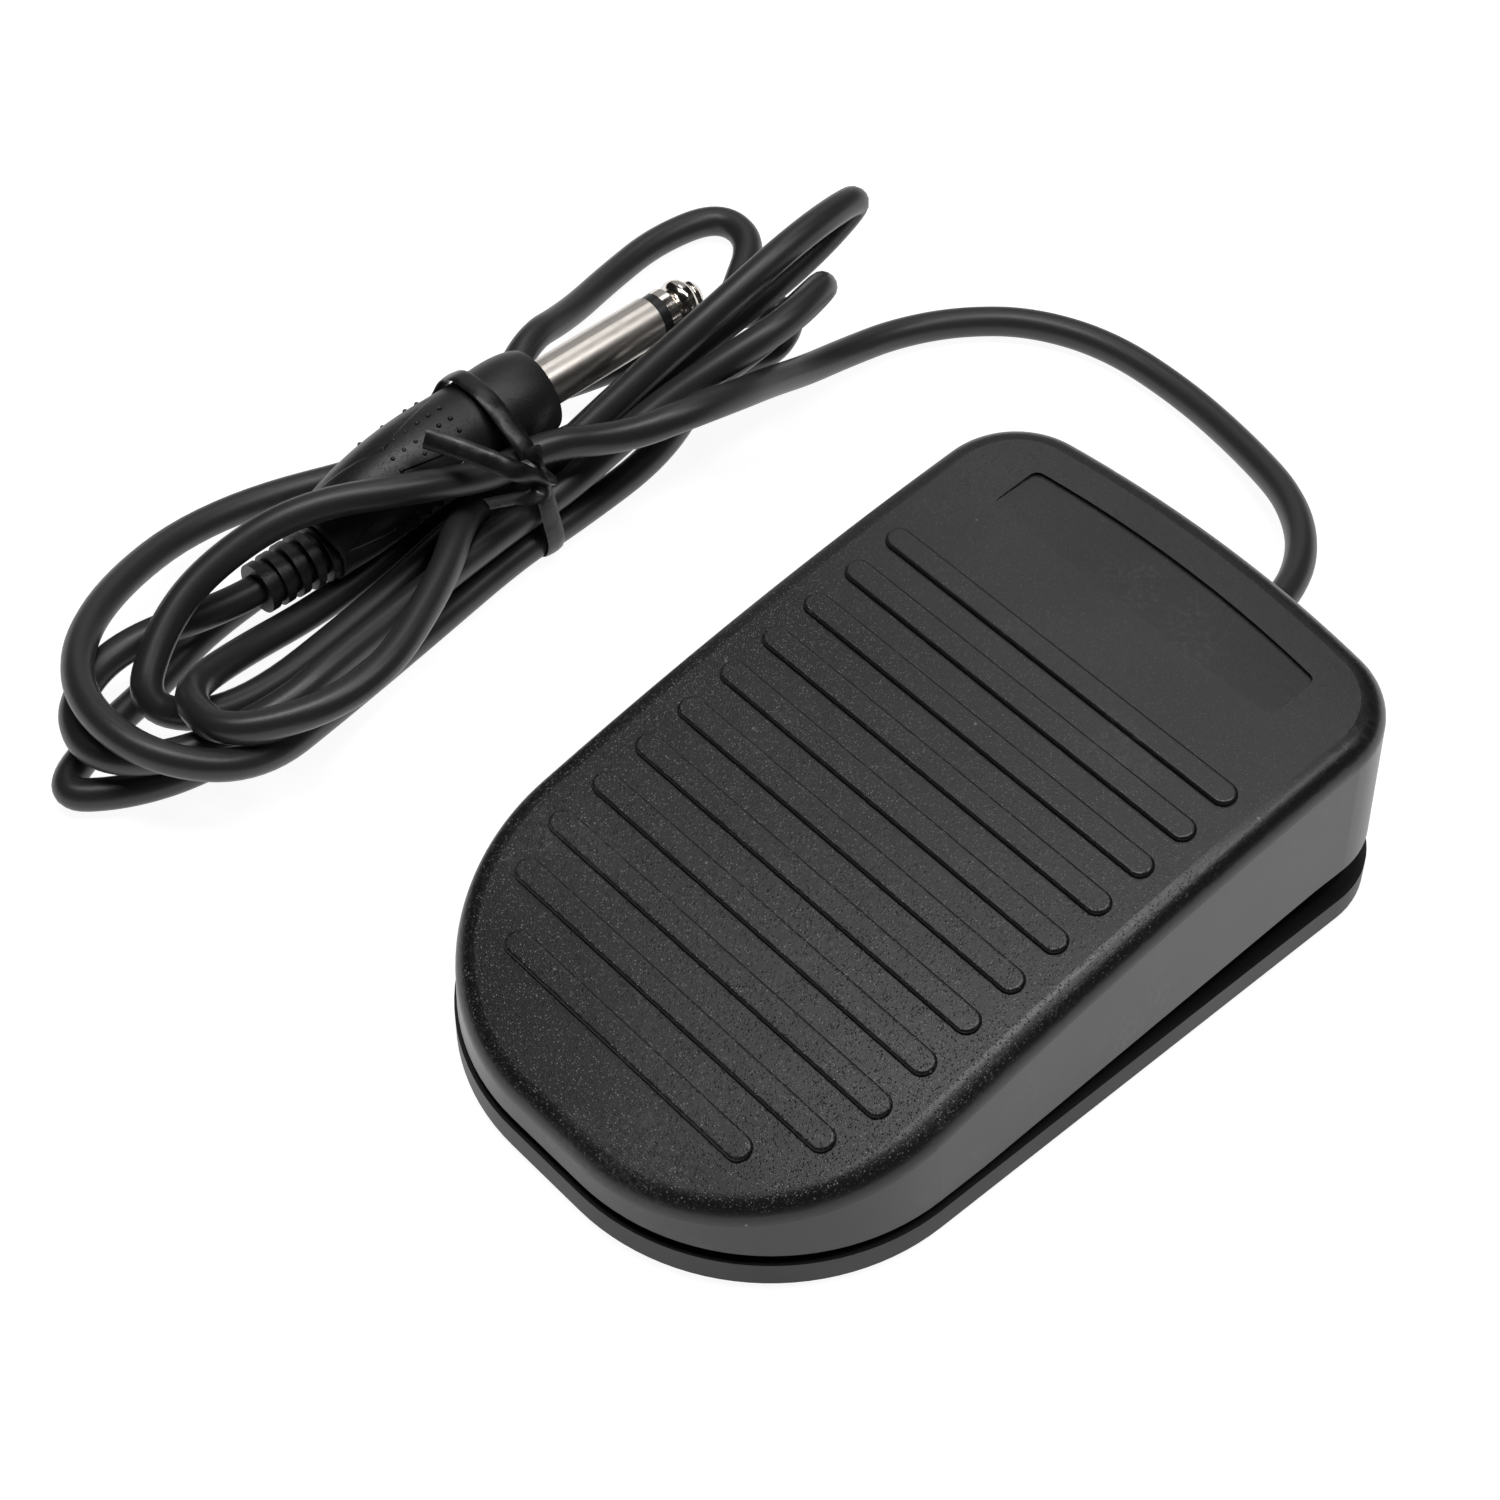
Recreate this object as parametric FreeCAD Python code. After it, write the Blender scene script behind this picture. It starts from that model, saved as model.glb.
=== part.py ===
import FreeCAD, Part
import math
import os

# Foot pedal switch with a microswitch under a sprung cover, its cord tied in a hank and a jack plug.
# Millimetres. +X right, +Y towards the cord, +Z up, origin on the floor under the middle of the pedal.

V = FreeCAD.Vector
X, Y, Z = V(1, 0, 0), V(0, 1, 0), V(0, 0, 1)

# Outline of the base, seen from above
half_width = 33.2
half_length = 52.0
nose_radius = 27.5
rear_radius = 165.0
rear_corner_radius = 12.0

# Base tray
foot_proud = 0.8
floor_thickness = 1.6
lip_height = 3.4
lip_thickness = 2.0
upstand_inset = 3.4
upstand_thickness = 1.6
upstand_front_height = 5.2
upstand_rear_height = 10.0
press_clearance = 0.05

# Cover
cover_inset = 0.2
cover_draft = 0.9
wall = 2.0
top_front_z = 10.6
top_middle_z = 24.3
top_rear_z = 30.2
top_edge_round = 3.0
front_gap = 1.4
rear_gap = 5.0
gap_rise_start = 34.0
gap_rise_end = 18.0

# Ribs and the bare label recess on the cover
rib_count = 11
rib_pitch = 6.38
rib_from_rear = 28.3
rib_width = 3.2
rib_height = 0.6
rib_round = 0.45
rib_half_length = 25.5
rib_nose_shortening = (1.65, 7.5)
recess_half_width = 21.9
recess_depth = 0.45
recess_front_depth = 0.08
recess_front_from_rear = 17.0
recess_margin = 8.2
recess_corner = 1.2

# Hinge near the nose
hinge_from_nose = 14.0
hinge_height = 7.2
pin_diameter = 3.0
pin_clearance = 0.05
knuckle_radius = 3.0
knuckle_width = 3.0
knuckle_side_gap = 0.2
hinge_end_gap = 0.5
clip_radius = 2.9
clip_thickness = 0.6
pin_end = 0.8
pedal_travel_deg = 2.8

# Return spring
spring_y = 2.0
spring_outer_diameter = 10.0
spring_wire = 0.9
spring_turns = 8
spring_seat_height = 0.6
spring_boss_z = 21.3
spigot_diameter = 7.4
spigot_height = 2.5
spring_end_gap = 0.05

# Stop screws that hang in wells of the tray and hold the cover down
stop_x = 18.0
stop_from_rear = 22.0
stop_shank_diameter = 3.4
stop_head_diameter = 6.6
stop_head_height = 2.2
stop_well_diameter = 8.4
stop_well_wall = 1.0
stop_hole_diameter = 4.4
stop_ledge_z = 7.5
stop_ledge_thickness = 1.5
stop_boss_diameter = 7.6
stop_boss_z = 12.9
stop_thread_length = 8.0
washer_thickness = 0.6
washer_gap = 0.1

# Microswitch
switch_from_rear = 28.0
switch_length = 20.0
switch_width = 6.4
switch_height = 10.2
switch_base_z = 8.0
switch_lid_thickness = 1.2
switch_hole_spacing = 9.5
switch_hole_height = 2.9
switch_screw_diameter = 2.0
switch_screw_head = 3.8
switch_screw_head_height = 1.6
bracket_thickness = 2.0
bracket_height = 13.6
terminal_thickness = 0.5
terminal_width = 3.2
terminal_length = 4.6
terminal_pitch = 7.0
lever_length = 16.6
lever_thickness = 0.4
lever_width = 4.0
lever_rest_deg = 12.0
lever_pivot_inset = 1.0
lever_pivot_rise = 0.75
lever_barrel_radius = 0.6
trunnion_radius = 0.4
trunnion_clearance = 0.05
ear_thickness = 0.9
ear_half_length = 1.1
ear_rise = 1.7
plunger_arm = 4.1
plunger_width = 2.0
plunger_rise = 0.9
plunger_height = 2.5
plunger_clearance = 0.1
plunger_stroke_room = 1.0
post_diameter = 5.0
post_gap = 0.3

# Cord, its bush and its clamp
cord_diameter = 4.0
cord_exit_z = 8.0
lead_start_inset = 2.0
lead_straight = 13.0
bush_neck_radius = 3.2
bush_flange_radius = 4.2
bush_flange_thickness = 1.2
bush_tail = 6.2
bush_tail_radius = 2.9
bush_bore_clearance = 0.05
bush_seat_gap = 0.1
cover_notch_margin = 0.6
clamp_from_rear = 11.0
clamp_width = 4.8
clamp_thickness = 1.4
clamp_screw_x = 7.0
clamp_screw_diameter = 2.3
clamp_head_diameter = 4.6
clamp_head_height = 1.6
clamp_boss_radius = 2.6
clamp_boss_gap = 0.3
saddle_half_width = 3.0
saddle_length = 3.6
inner_cable_from_rear = 14.5
wire_diameter = 1.1

# Feet
foot_diameter = 10.0
foot_recess = 0.6
rear_foot_x = 25.0
rear_foot_from_rear = 11.0
front_foot_x = 22.0
front_foot_from_nose = 18.0

# Jack plug, lying along Y on the hank
plug_x = -84.4
plug_z = 13.6
sleeve_radius = 3.175
sleeve_start_y = 17.2
sleeve_length = 19.3
insulator_length = 1.5
insulator_bore = 1.2
insulator_setback = 0.2
sleeve_bore = 2.0
# Radii and lengths along the tip: collar, neck, waist and flared end; the ball has a radius and a rounding
tip_collar = (3.05, 1.4)
tip_neck = (2.1, 0.7)
tip_ball = (3.1, 1.5)
tip_waist = (1.75, 0.8)
tip_end = (2.0, 1.1)
tip_shoulder = 2.2
# y, height and radius along the sagging moulded handle, from the collar to the strain relief
handle_sections = [
    (17.2, 13.6, 5.6), (16.2, 13.6, 5.95), (8.0, 13.5, 6.1), (0.0, 13.2, 6.2), (-6.0, 12.4, 6.1),
    (-11.0, 11.1, 5.8), (-14.6, 9.8, 5.2), (-16.5, 8.4, 4.3),
]
relief_length = 10.0
relief_core_radius = 2.9
relief_rib_count = 5
relief_rib_width = 1.2
relief_rib_radii = (3.9, 3.3)

# The route of the lead, from the bush to the tie. Its points are chosen by hand.
lead_start_y = half_length - lead_start_inset
lead_route = [
    (0, lead_start_y, cord_exit_z), (0, lead_start_y + lead_straight, cord_exit_z), (-4, 73, 7.2),
    (-12.5, 80.5, 5.5), (-24, 84.5, 3.6), (-37, 87, 2.3), (-50, 86.5, 2.2), (-60, 82, 2.2),
    (-66.4, 75, 2.2), (-70.2, 67, 2.4), (-71, 58.5, 3.6), (-69.8, 50, 6.6), (-67.8, 42.4, 11),
    (-65.6, 34.6, 15.2), (-65.4, 26.6, 17.4), (-68.4, 18.6, 16.2), (-75.8, 14.4, 14), (-75.8, 8, 14),
]

# Places in the waist of the hank, where the tie draws the strands together: x and z of each one
waist_y = 8.0
waist = {
    "a": (-93.9, 2.9), "b": (-89.6, 2.9), "c": (-85.3, 2.9), "d": (-81, 2.9), "e": (-76.7, 2.9),
    "f": (-72.2, 2.9), "g": (-77.6, 7.5), "h": (-73.2, 7.4), "start": (-75.8, 14),
}
waist_run = 4.0

# The loops in the order that the cord takes them. Each one leaves the waist, turns round its tip
# and comes back to the place named at its end; the last one ends at the plug.
hank_loops = [
    ([(-77.4, -6.8, 17.6), (-83.5, -20, 18.2), (-85.8, -32, 14.4), (-84.2, -40, 11.2), (-79, -47.5, 7.6),
      (-74, -37, 3), (-77.2, -14.5, 2.2)], "d"),
    ([(-79.2, 27.2, 8.4), (-77.9, 44.6, 13.2), (-78.3, 57, 15.2), (-78.8, 65.4, 19.2), (-75.6, 51.4, 22.8),
      (-75.6, 36.6, 18.4), (-76.9, 25.6, 13.2)], "g"),
    ([(-75.4, -2, 10.9), (-67.4, -11, 12.9), (-60, -27.5, 12.8), (-65.6, -42.5, 11.9), (-73.6, -43.4, 9.6),
      (-79.7, -37, 5.3), (-81.6, -16, 2.2)], "c"),
    ([(-83.4, 22, 2.3), (-80.6, 31, 4.8), (-78.4, 38, 6.7), (-75.8, 46, 6.6), (-79.7, 53, 6.2),
      (-83.7, 46, 6.6), (-86.8, 31.6, 5.6), (-94.8, 19.5, 2.2)], "a"),
    ([(-103, -21, 4), (-96, -42, 9), (-83, -52.5, 11.9), (-70, -51.5, 11.4), (-61.8, -42.5, 8),
      (-64.4, -26.5, 4), (-68.6, -12.5, 2.2)], "f"),
    ([(-74.3, 30.5, 2.2), (-83, 45.5, 2.2), (-90.6, 56, 2.2), (-96.2, 63.4, 2.2), (-102.4, 63.6, 2.2),
      (-105, 55.4, 2.2), (-103.6, 46, 2.4), (-98.8, 34.8, 4.6), (-95.2, 24.5, 7.4)], "b"),
    ([(-89, -30, 2.2), (-84.2, -41, 2.2), (-82.2, -51, 2.2), (-78.4, -58.4, 2.2), (-73.8, -53.4, 2.2),
      (-70.8, -46, 2.2), (-69, -36, 2.2), (-72.7, -15, 2.2)], "e"),
    ([(-74.8, 26, 7.9), (-73, 42, 11.2), (-72.2, 54.2, 16.8), (-67.8, 44, 19.4), (-69.6, 35.2, 17),
      (-72.3, 26, 12.6)], "h"),
    ([(-67.9, -26.5, 8), (-67.2, -36, 7.4), (-70.2, -48, 6.7), (-76.6, -54.4, 6.7), (-84, -52, 6.8),
      (-88.4, -43.5, 7)], "plug"),
]

# Twist tie round the waist
tie_width = 2.8
tie_thickness = 0.5
tie_clearance = 0.3
tail_width = 2.6
tail_thickness = 0.7
twist_turns = 0.5
twist_route = [(-73.6, 8.0, 15.7), (-69.4, 6.4, 16.0)]
long_tail = [
    (-69.4, 6.4, 16.0), (-69.9, 4.0, 18.6), (-71.6, 1.4, 20.4), (-75.4, -1.1, 21.9), (-79.4, -3.4, 22.5),
]
short_tail = [(-69.4, 6.4, 16.0), (-68.6, 4.4, 15.8), (-69.3, 1.6, 16.4), (-70.2, -1.9, 17.1)]

# Values worked out from the sizes above
nose_y = -half_length
nose_centre_x = half_width - nose_radius
rear_centre_y = half_length - rear_radius
corner_centre_x = half_width - rear_corner_radius
corner_centre_y = rear_centre_y + math.sqrt((rear_radius - rear_corner_radius) ** 2 - corner_centre_x ** 2)
floor_z = foot_proud
floor_top = foot_proud + floor_thickness
lip_top = foot_proud + lip_height
front_edge_z = lip_top + front_gap
rear_edge_z = lip_top + rear_gap
gap_front_y = nose_y + gap_rise_start
gap_rear_y = half_length - gap_rise_end
hinge_y = nose_y + hinge_from_nose
pin_radius = pin_diameter / 2
nose_inner_radius = nose_radius - upstand_inset - upstand_thickness
hinge_room = math.sqrt(nose_inner_radius ** 2 - (nose_y + nose_radius - hinge_y + clip_radius) ** 2)
base_knuckle_outer_x = nose_centre_x + hinge_room - clip_thickness - hinge_end_gap
base_knuckle_inner_x = base_knuckle_outer_x - knuckle_width
cover_knuckle_inner_x = base_knuckle_inner_x - knuckle_side_gap - knuckle_width
stop_y = half_length - stop_from_rear
switch_y = half_length - switch_from_rear
switch_top = switch_base_z + switch_height
pivot_y = switch_y - switch_length / 2 + lever_pivot_inset
pivot_z = switch_top + lever_pivot_rise
clamp_y = half_length - clamp_from_rear
cable_end_y = half_length - inner_cable_from_rear
bush_y = half_length - upstand_inset
cord_radius = cord_diameter / 2
far = 4 * half_length
over = half_length / 10
relief_end_y = handle_sections[-1][0] - relief_length
relief_z = handle_sections[-1][1]


def box(x0, x1, y0, y1, z0, z1):
    """A block between two corners."""
    return Part.makeBox(x1 - x0, y1 - y0, z1 - z0, V(x0, y0, z0))


def rod(radius, start, end):
    """A round bar between two points."""
    run = V(*end) - V(*start)
    return Part.makeCylinder(radius, run.Length, V(*start), run)


def joined(shapes):
    """One solid from pieces that overlap."""
    whole = shapes[0].fuse(shapes[1:]) if len(shapes) > 1 else shapes[0]
    return whole.removeSplitter()


def rotated(shape, centre, axis, degrees):
    turned = shape.copy()
    turned.rotate(centre, axis, degrees)
    return turned


def moved(shape, x, y, z):
    shifted = shape.copy()
    shifted.translate(V(x, y, z))
    return shifted


def plan_wire(inset, z):
    """The outline seen from above, drawn in by an inset: rounded nose, straight sides, arched rear."""
    rise = math.atan2(corner_centre_y - rear_centre_y, corner_centre_x)

    def arc(cx, cy, radius, first, last):
        points = []
        for share in (0, 0.5, 1):
            angle = first + (last - first) * share
            points.append(V(cx + radius * math.cos(angle), cy + radius * math.sin(angle), z))
        return Part.Arc(*points).toShape(), points[0], points[2]

    quarter = math.pi / 2
    pieces = [
        arc(nose_centre_x, nose_y + nose_radius, nose_radius - inset, -quarter, 0),
        arc(corner_centre_x, corner_centre_y, rear_corner_radius - inset, 0, rise),
        arc(0, rear_centre_y, rear_radius - inset, rise, math.pi - rise),
        arc(-corner_centre_x, corner_centre_y, rear_corner_radius - inset, math.pi - rise, math.pi),
        arc(-nose_centre_x, nose_y + nose_radius, nose_radius - inset, math.pi, math.pi + quarter),
    ]
    edges = []
    for index, (edge, start, end) in enumerate(pieces):
        following = pieces[(index + 1) % len(pieces)][1]
        edges.append(edge)
        if (following - end).Length > 1e-6:
            edges.append(Part.LineSegment(end, following).toShape())
    return Part.Wire(edges)


def plan_block(inset, low, high):
    """The outline as an upright block."""
    return Part.Face(plan_wire(inset, low)).extrude(V(0, 0, high - low))


def plan_ring(outer_inset, thickness, low, high):
    return plan_block(outer_inset, low, high).cut(plan_block(outer_inset + thickness, low - 1, high + 1))


def side_block(points):
    """A side profile in Y and Z, drawn right across the pedal."""
    corners = [V(-half_width - over, y, z) for y, z in points]
    face = Part.Face(Part.makePolygon(corners + corners[:1]))
    return face.extrude(V(2 * (half_width + over), 0, 0))


def top_circle():
    """Centre height, centre y and radius of the arched top, through its front, middle and rear."""
    points = [V(0, nose_y, top_front_z), V(0, 0, top_middle_z), V(0, half_length, top_rear_z)]
    circle = Part.Arc(*points).toShape().Curve
    return circle.Center.y, circle.Center.z, circle.Radius


top_centre_y, top_centre_z, top_radius = top_circle()


def top_z(y, depth=0.0):
    return top_centre_z + math.sqrt((top_radius - depth) ** 2 - (y - top_centre_y) ** 2)


def top_slope_deg(y):
    return math.degrees(-math.asin((y - top_centre_y) / top_radius))


def under_top(depth):
    """Everything below the arched top, lowered by a depth."""
    reach = half_length + over
    ends = [V(-half_width - over, y, top_z(y, depth)) for y in (-reach, 0, reach)]
    arc = Part.Arc(*ends).toShape()
    corners = [ends[2], V(ends[2].x, reach, -far), V(ends[0].x, -reach, -far), ends[0]]
    sides = [Part.LineSegment(a, b).toShape() for a, b in zip(corners, corners[1:])]
    return Part.Face(Part.Wire([arc] + sides)).extrude(V(2 * (half_width + over), 0, 0))


def edges_on_top(shape, depth):
    """The edges whose middle lies on the arched top, lowered by a depth."""
    found = []
    for edge in shape.Edges:
        middle = edge.valueAt((edge.FirstParameter + edge.LastParameter) / 2)
        distance = math.hypot(middle.y - top_centre_y, middle.z - top_centre_z)
        if abs(distance - (top_radius - depth)) < 0.01 and middle.z > front_edge_z - 1:
            found.append(edge)
    return found


def slot_block(half_straight, width, height):
    """An upright bar along X with round ends, its foot at z = 0."""
    r = width / 2
    a, b = V(-half_straight, -r, 0), V(half_straight, -r, 0)
    c, d = V(half_straight, r, 0), V(-half_straight, r, 0)
    edges = [
        Part.LineSegment(a, b).toShape(),
        Part.Arc(b, V(half_straight + r, 0, 0), c).toShape(),
        Part.LineSegment(c, d).toShape(),
        Part.Arc(d, V(-half_straight - r, 0, 0), a).toShape(),
    ]
    return Part.Face(Part.Wire(edges)).extrude(V(0, 0, height))


# Base


def base_tray():
    """Tray with a low lip, a drawn-in wall behind it, and everything that the mechanism stands on."""
    floor = plan_block(0, floor_z, floor_top)
    lip = plan_ring(0, lip_thickness, floor_z, lip_top)
    upstand = plan_ring(upstand_inset, upstand_thickness, floor_top - 0.5, far)
    heights = side_block([
        (-far, 0), (far, 0), (far, floor_top + upstand_rear_height),
        (gap_rear_y, floor_top + upstand_rear_height), (gap_front_y, floor_top + upstand_front_height),
        (-far, floor_top + upstand_front_height),
    ])
    solids = [floor, lip, upstand.common(heights)]
    solids += base_knuckles()
    solids += [spring_seat(), switch_bracket()]
    solids += stop_wells()
    solids += clamp_posts()
    tray = joined(solids)
    for cutter in base_cutters():
        tray = tray.cut(cutter)
    return tray.removeSplitter()


def knuckle(x0, x1, low, high):
    """A hinge ear: a plate with a round end about the pin."""
    barrel = rod(knuckle_radius, (x0, hinge_y, hinge_height), (x1, hinge_y, hinge_height))
    plate = box(x0, x1, hinge_y - knuckle_radius, hinge_y + knuckle_radius, low, high)
    return barrel.fuse(plate)


def base_knuckles():
    ears = []
    for side in (-1, 1):
        x0, x1 = sorted((side * base_knuckle_inner_x, side * base_knuckle_outer_x))
        ears.append(knuckle(x0, x1, floor_top - 0.5, hinge_height))
    return ears


def spring_seat():
    pad = rod(spring_outer_diameter / 2 + 1.5, (0, spring_y, floor_top - 0.5),
              (0, spring_y, floor_top + spring_seat_height))
    top = floor_top + spring_seat_height + spigot_height
    return pad.fuse(rod(spigot_diameter / 2, (0, spring_y, floor_top), (0, spring_y, top)))


def switch_bracket():
    """An upright plate beside the switch, with a gusset at each end."""
    x1 = -switch_width / 2
    x0 = x1 - bracket_thickness
    reach = switch_length / 2 - 1
    plate = box(x0, x1, switch_y - reach, switch_y + reach, floor_top - 0.5, floor_top + bracket_height)
    gussets = []
    for end in (switch_y - reach, switch_y + reach - bracket_thickness):
        corners = [V(x0, end, floor_top - 0.5), V(x0 - 6, end, floor_top - 0.5), V(x0, end, floor_top + 10)]
        web = Part.Face(Part.makePolygon(corners + corners[:1])).extrude(V(0, bracket_thickness, 0))
        gussets.append(web)
    return plate.fuse(gussets)


def stop_wells():
    wells = []
    radius = stop_well_diameter / 2 + stop_well_wall
    for side in (-1, 1):
        base = (side * stop_x, stop_y, floor_top - 0.5)
        wells.append(rod(radius, base, (side * stop_x, stop_y, stop_ledge_z + stop_ledge_thickness)))
    return wells


def clamp_posts():
    """Two screw posts and a saddle that carries the cord between them."""
    cable_top = cord_exit_z + cord_radius
    posts = []
    for side in (-1, 1):
        foot = (side * clamp_screw_x, clamp_y, floor_top - 0.5)
        posts.append(rod(clamp_boss_radius, foot, (foot[0], clamp_y, cable_top - clamp_boss_gap)))
    posts.append(box(-saddle_half_width, saddle_half_width, clamp_y - saddle_length / 2,
                     clamp_y + saddle_length / 2, floor_top - 0.5, cord_exit_z - cord_radius))
    return posts


def switch_hole_ys():
    return [switch_y - switch_hole_spacing / 2, switch_y + switch_hole_spacing / 2]


def base_cutters():
    cutters = [rod(pin_radius, (-half_width, hinge_y, hinge_height), (half_width, hinge_y, hinge_height))]
    for side in (-1, 1):
        x = side * stop_x
        cutters.append(rod(stop_well_diameter / 2, (x, stop_y, -1), (x, stop_y, stop_ledge_z)))
        cutters.append(rod(stop_hole_diameter / 2, (x, stop_y, -1), (x, stop_y, far / 4)))
        cutters.append(rod(clamp_screw_diameter / 2, (side * clamp_screw_x, clamp_y, floor_top + 1),
                           (side * clamp_screw_x, clamp_y, far / 4)))
    for y in switch_hole_ys():
        z = switch_base_z + switch_hole_height
        cutters.append(rod(switch_screw_diameter / 2, (-half_width / 2, y, z), (0, y, z)))
    for x, y in foot_places():
        cutters.append(rod(foot_diameter / 2 + press_clearance, (x, y, -1), (x, y, floor_z + foot_recess)))
    cutters.append(rod(bush_neck_radius, (0, bush_y - upstand_thickness - 1, cord_exit_z),
                       (0, bush_y + 1, cord_exit_z)))
    cutters.append(box(-bush_neck_radius, bush_neck_radius, bush_y - upstand_thickness - 1, bush_y + 1,
                       cord_exit_z, far / 4))
    return cutters


def foot_places():
    rear_y = half_length - rear_foot_from_rear
    front_y = nose_y + front_foot_from_nose
    return [(-rear_foot_x, rear_y), (rear_foot_x, rear_y), (-front_foot_x, front_y), (front_foot_x, front_y)]


def rubber_feet():
    return Part.makeCompound([rod(foot_diameter / 2, (x, y, 0), (x, y, floor_z + foot_recess))
                              for x, y in foot_places()])


def hinge_pin():
    reach = base_knuckle_outer_x + clip_thickness + pin_end
    return rod(pin_radius, (-reach, hinge_y, hinge_height), (reach, hinge_y, hinge_height))


def hinge_clips():
    clips = []
    for side in (-1, 1):
        start = side * base_knuckle_outer_x
        end = start + side * clip_thickness
        ring = rod(clip_radius, (start, hinge_y, hinge_height), (end, hinge_y, hinge_height))
        clips.append(ring.cut(rod(pin_radius, (-half_width, hinge_y, hinge_height),
                                  (half_width, hinge_y, hinge_height))))
    return Part.makeCompound(clips)


# Cover and what moves with it


def cover_shell():
    """Hollow cover with drafted walls, an arched top and a lower edge that rises to the rear."""
    low, high = 0.0, top_rear_z + 4
    lower_edge = side_block([
        (-far, front_edge_z), (gap_front_y, front_edge_z), (gap_rear_y, rear_edge_z), (far, rear_edge_z),
        (far, far), (-far, far),
    ])
    outer = Part.makeLoft([plan_wire(cover_inset, low), plan_wire(cover_inset + cover_draft, high)], True, True)
    outer = outer.common(under_top(0))
    outer = outer.makeFillet(top_edge_round, edges_on_top(outer, 0))
    inner = Part.makeLoft([plan_wire(cover_inset + wall, low), plan_wire(cover_inset + cover_draft + wall, high)],
                          True, True)
    inner = inner.common(under_top(wall))
    inner = inner.makeFillet(max(top_edge_round - wall, 0.5), edges_on_top(inner, wall))
    return outer.cut(inner).common(lower_edge)


def cover_ribs():
    """Raised bars across the cover; those by the nose are shorter."""
    ribs = []
    for index in range(rib_count):
        y = half_length - rib_from_rear - rib_pitch * index
        from_nose = rib_count - 1 - index
        shorter = rib_nose_shortening[1 - from_nose] if from_nose < 2 else 0.0
        embed = wall / 2
        bar = slot_block(rib_half_length - shorter, rib_width, rib_height + embed)
        top_edges = [e for e in bar.Edges if min(v.Z for v in e.Vertexes) > rib_height]
        bar = bar.makeFillet(rib_round, top_edges)
        bar = moved(bar, 0, 0, -embed)
        bar = rotated(bar, V(0, 0, 0), X, top_slope_deg(y))
        ribs.append(moved(bar, 0, y, top_z(y)))
    return ribs


def recess_cutter():
    """The label recess: shallow and straight in front, deeper behind along the rear edge, and left bare."""
    front_y = half_length - recess_front_from_rear
    radius = rear_radius - recess_margin

    def rear_point(x):
        return V(x, rear_centre_y + math.sqrt(radius ** 2 - x ** 2), 0)

    left, right = V(-recess_half_width, front_y, 0), V(recess_half_width, front_y, 0)
    edges = [
        Part.LineSegment(left, right).toShape(),
        Part.LineSegment(right, rear_point(recess_half_width)).toShape(),
        Part.Arc(rear_point(recess_half_width), rear_point(0), rear_point(-recess_half_width)).toShape(),
        Part.LineSegment(rear_point(-recess_half_width), left).toShape(),
    ]
    block = Part.Face(Part.Wire(edges)).extrude(V(0, 0, top_rear_z + over))
    upright = [e for e in block.Edges if abs(e.tangentAt(e.FirstParameter).z) > 0.9]
    block = block.makeFillet(recess_corner, upright)
    slope = (recess_depth - recess_front_depth) / (rear_point(0).y - front_y)
    hollow = rotated(under_top(recess_front_depth), V(0, front_y, top_z(front_y, recess_front_depth)), X,
                     -math.degrees(slope))
    return block.cut(hollow)


def lever_tip():
    """Where the lever's free end lies at rest."""
    angle = math.radians(lever_rest_deg)
    y = pivot_y + lever_length * math.cos(angle)
    z = pivot_z + lever_length * math.sin(angle) + lever_thickness / 2
    return y, z


def cover_inside():
    """Hinge ears, spring boss, stop bosses and the post that works the switch."""
    ceiling = under_top(wall / 2)
    pieces = []
    for side in (-1, 1):
        x0, x1 = sorted((side * cover_knuckle_inner_x, side * (cover_knuckle_inner_x + knuckle_width)))
        pieces.append(knuckle(x0, x1, hinge_height, far / 4))
        pieces.append(rod(stop_boss_diameter / 2, (side * stop_x, stop_y, stop_boss_z),
                          (side * stop_x, stop_y, far / 4)))
    pieces.append(rod(spring_outer_diameter / 2 + 1, (0, spring_y, spring_boss_z), (0, spring_y, far / 4)))
    pieces.append(rod(spigot_diameter / 2, (0, spring_y, spring_boss_z - spigot_height),
                      (0, spring_y, far / 4)))
    tip_y, tip_z = lever_tip()
    pieces.append(rod(post_diameter / 2, (0, tip_y, tip_z + post_gap), (0, tip_y, far / 4)))
    return [piece.common(ceiling) for piece in pieces]


def cover_notch():
    """An arched notch in the rear wall that clears the cord's bush over the whole travel."""
    half = bush_flange_radius + cover_notch_margin
    drop = math.radians(pedal_travel_deg) * (half_length - hinge_y)
    crown = cord_exit_z + bush_flange_radius + cover_notch_margin + drop - half
    y0 = half_length - wall - cover_inset - cover_draft - 1.5
    arch = rod(half, (0, y0, crown), (0, half_length + 2, crown))
    return arch.fuse(box(-half, half, y0, half_length + 2, 0, crown))


def pedal_cover():
    cover = joined([cover_shell()] + cover_ribs() + cover_inside())
    cover = cover.cut(recess_cutter())
    cover = cover.cut(cover_notch())
    cover = cover.cut(rod(pin_radius + pin_clearance, (-half_width / 1.5, hinge_y, hinge_height),
                          (half_width / 1.5, hinge_y, hinge_height)))
    for side in (-1, 1):
        x = side * stop_x
        cover = cover.cut(rod(stop_shank_diameter / 2, (x, stop_y, 0), (x, stop_y, stop_boss_z + stop_thread_length)))
    return cover.removeSplitter()


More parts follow.
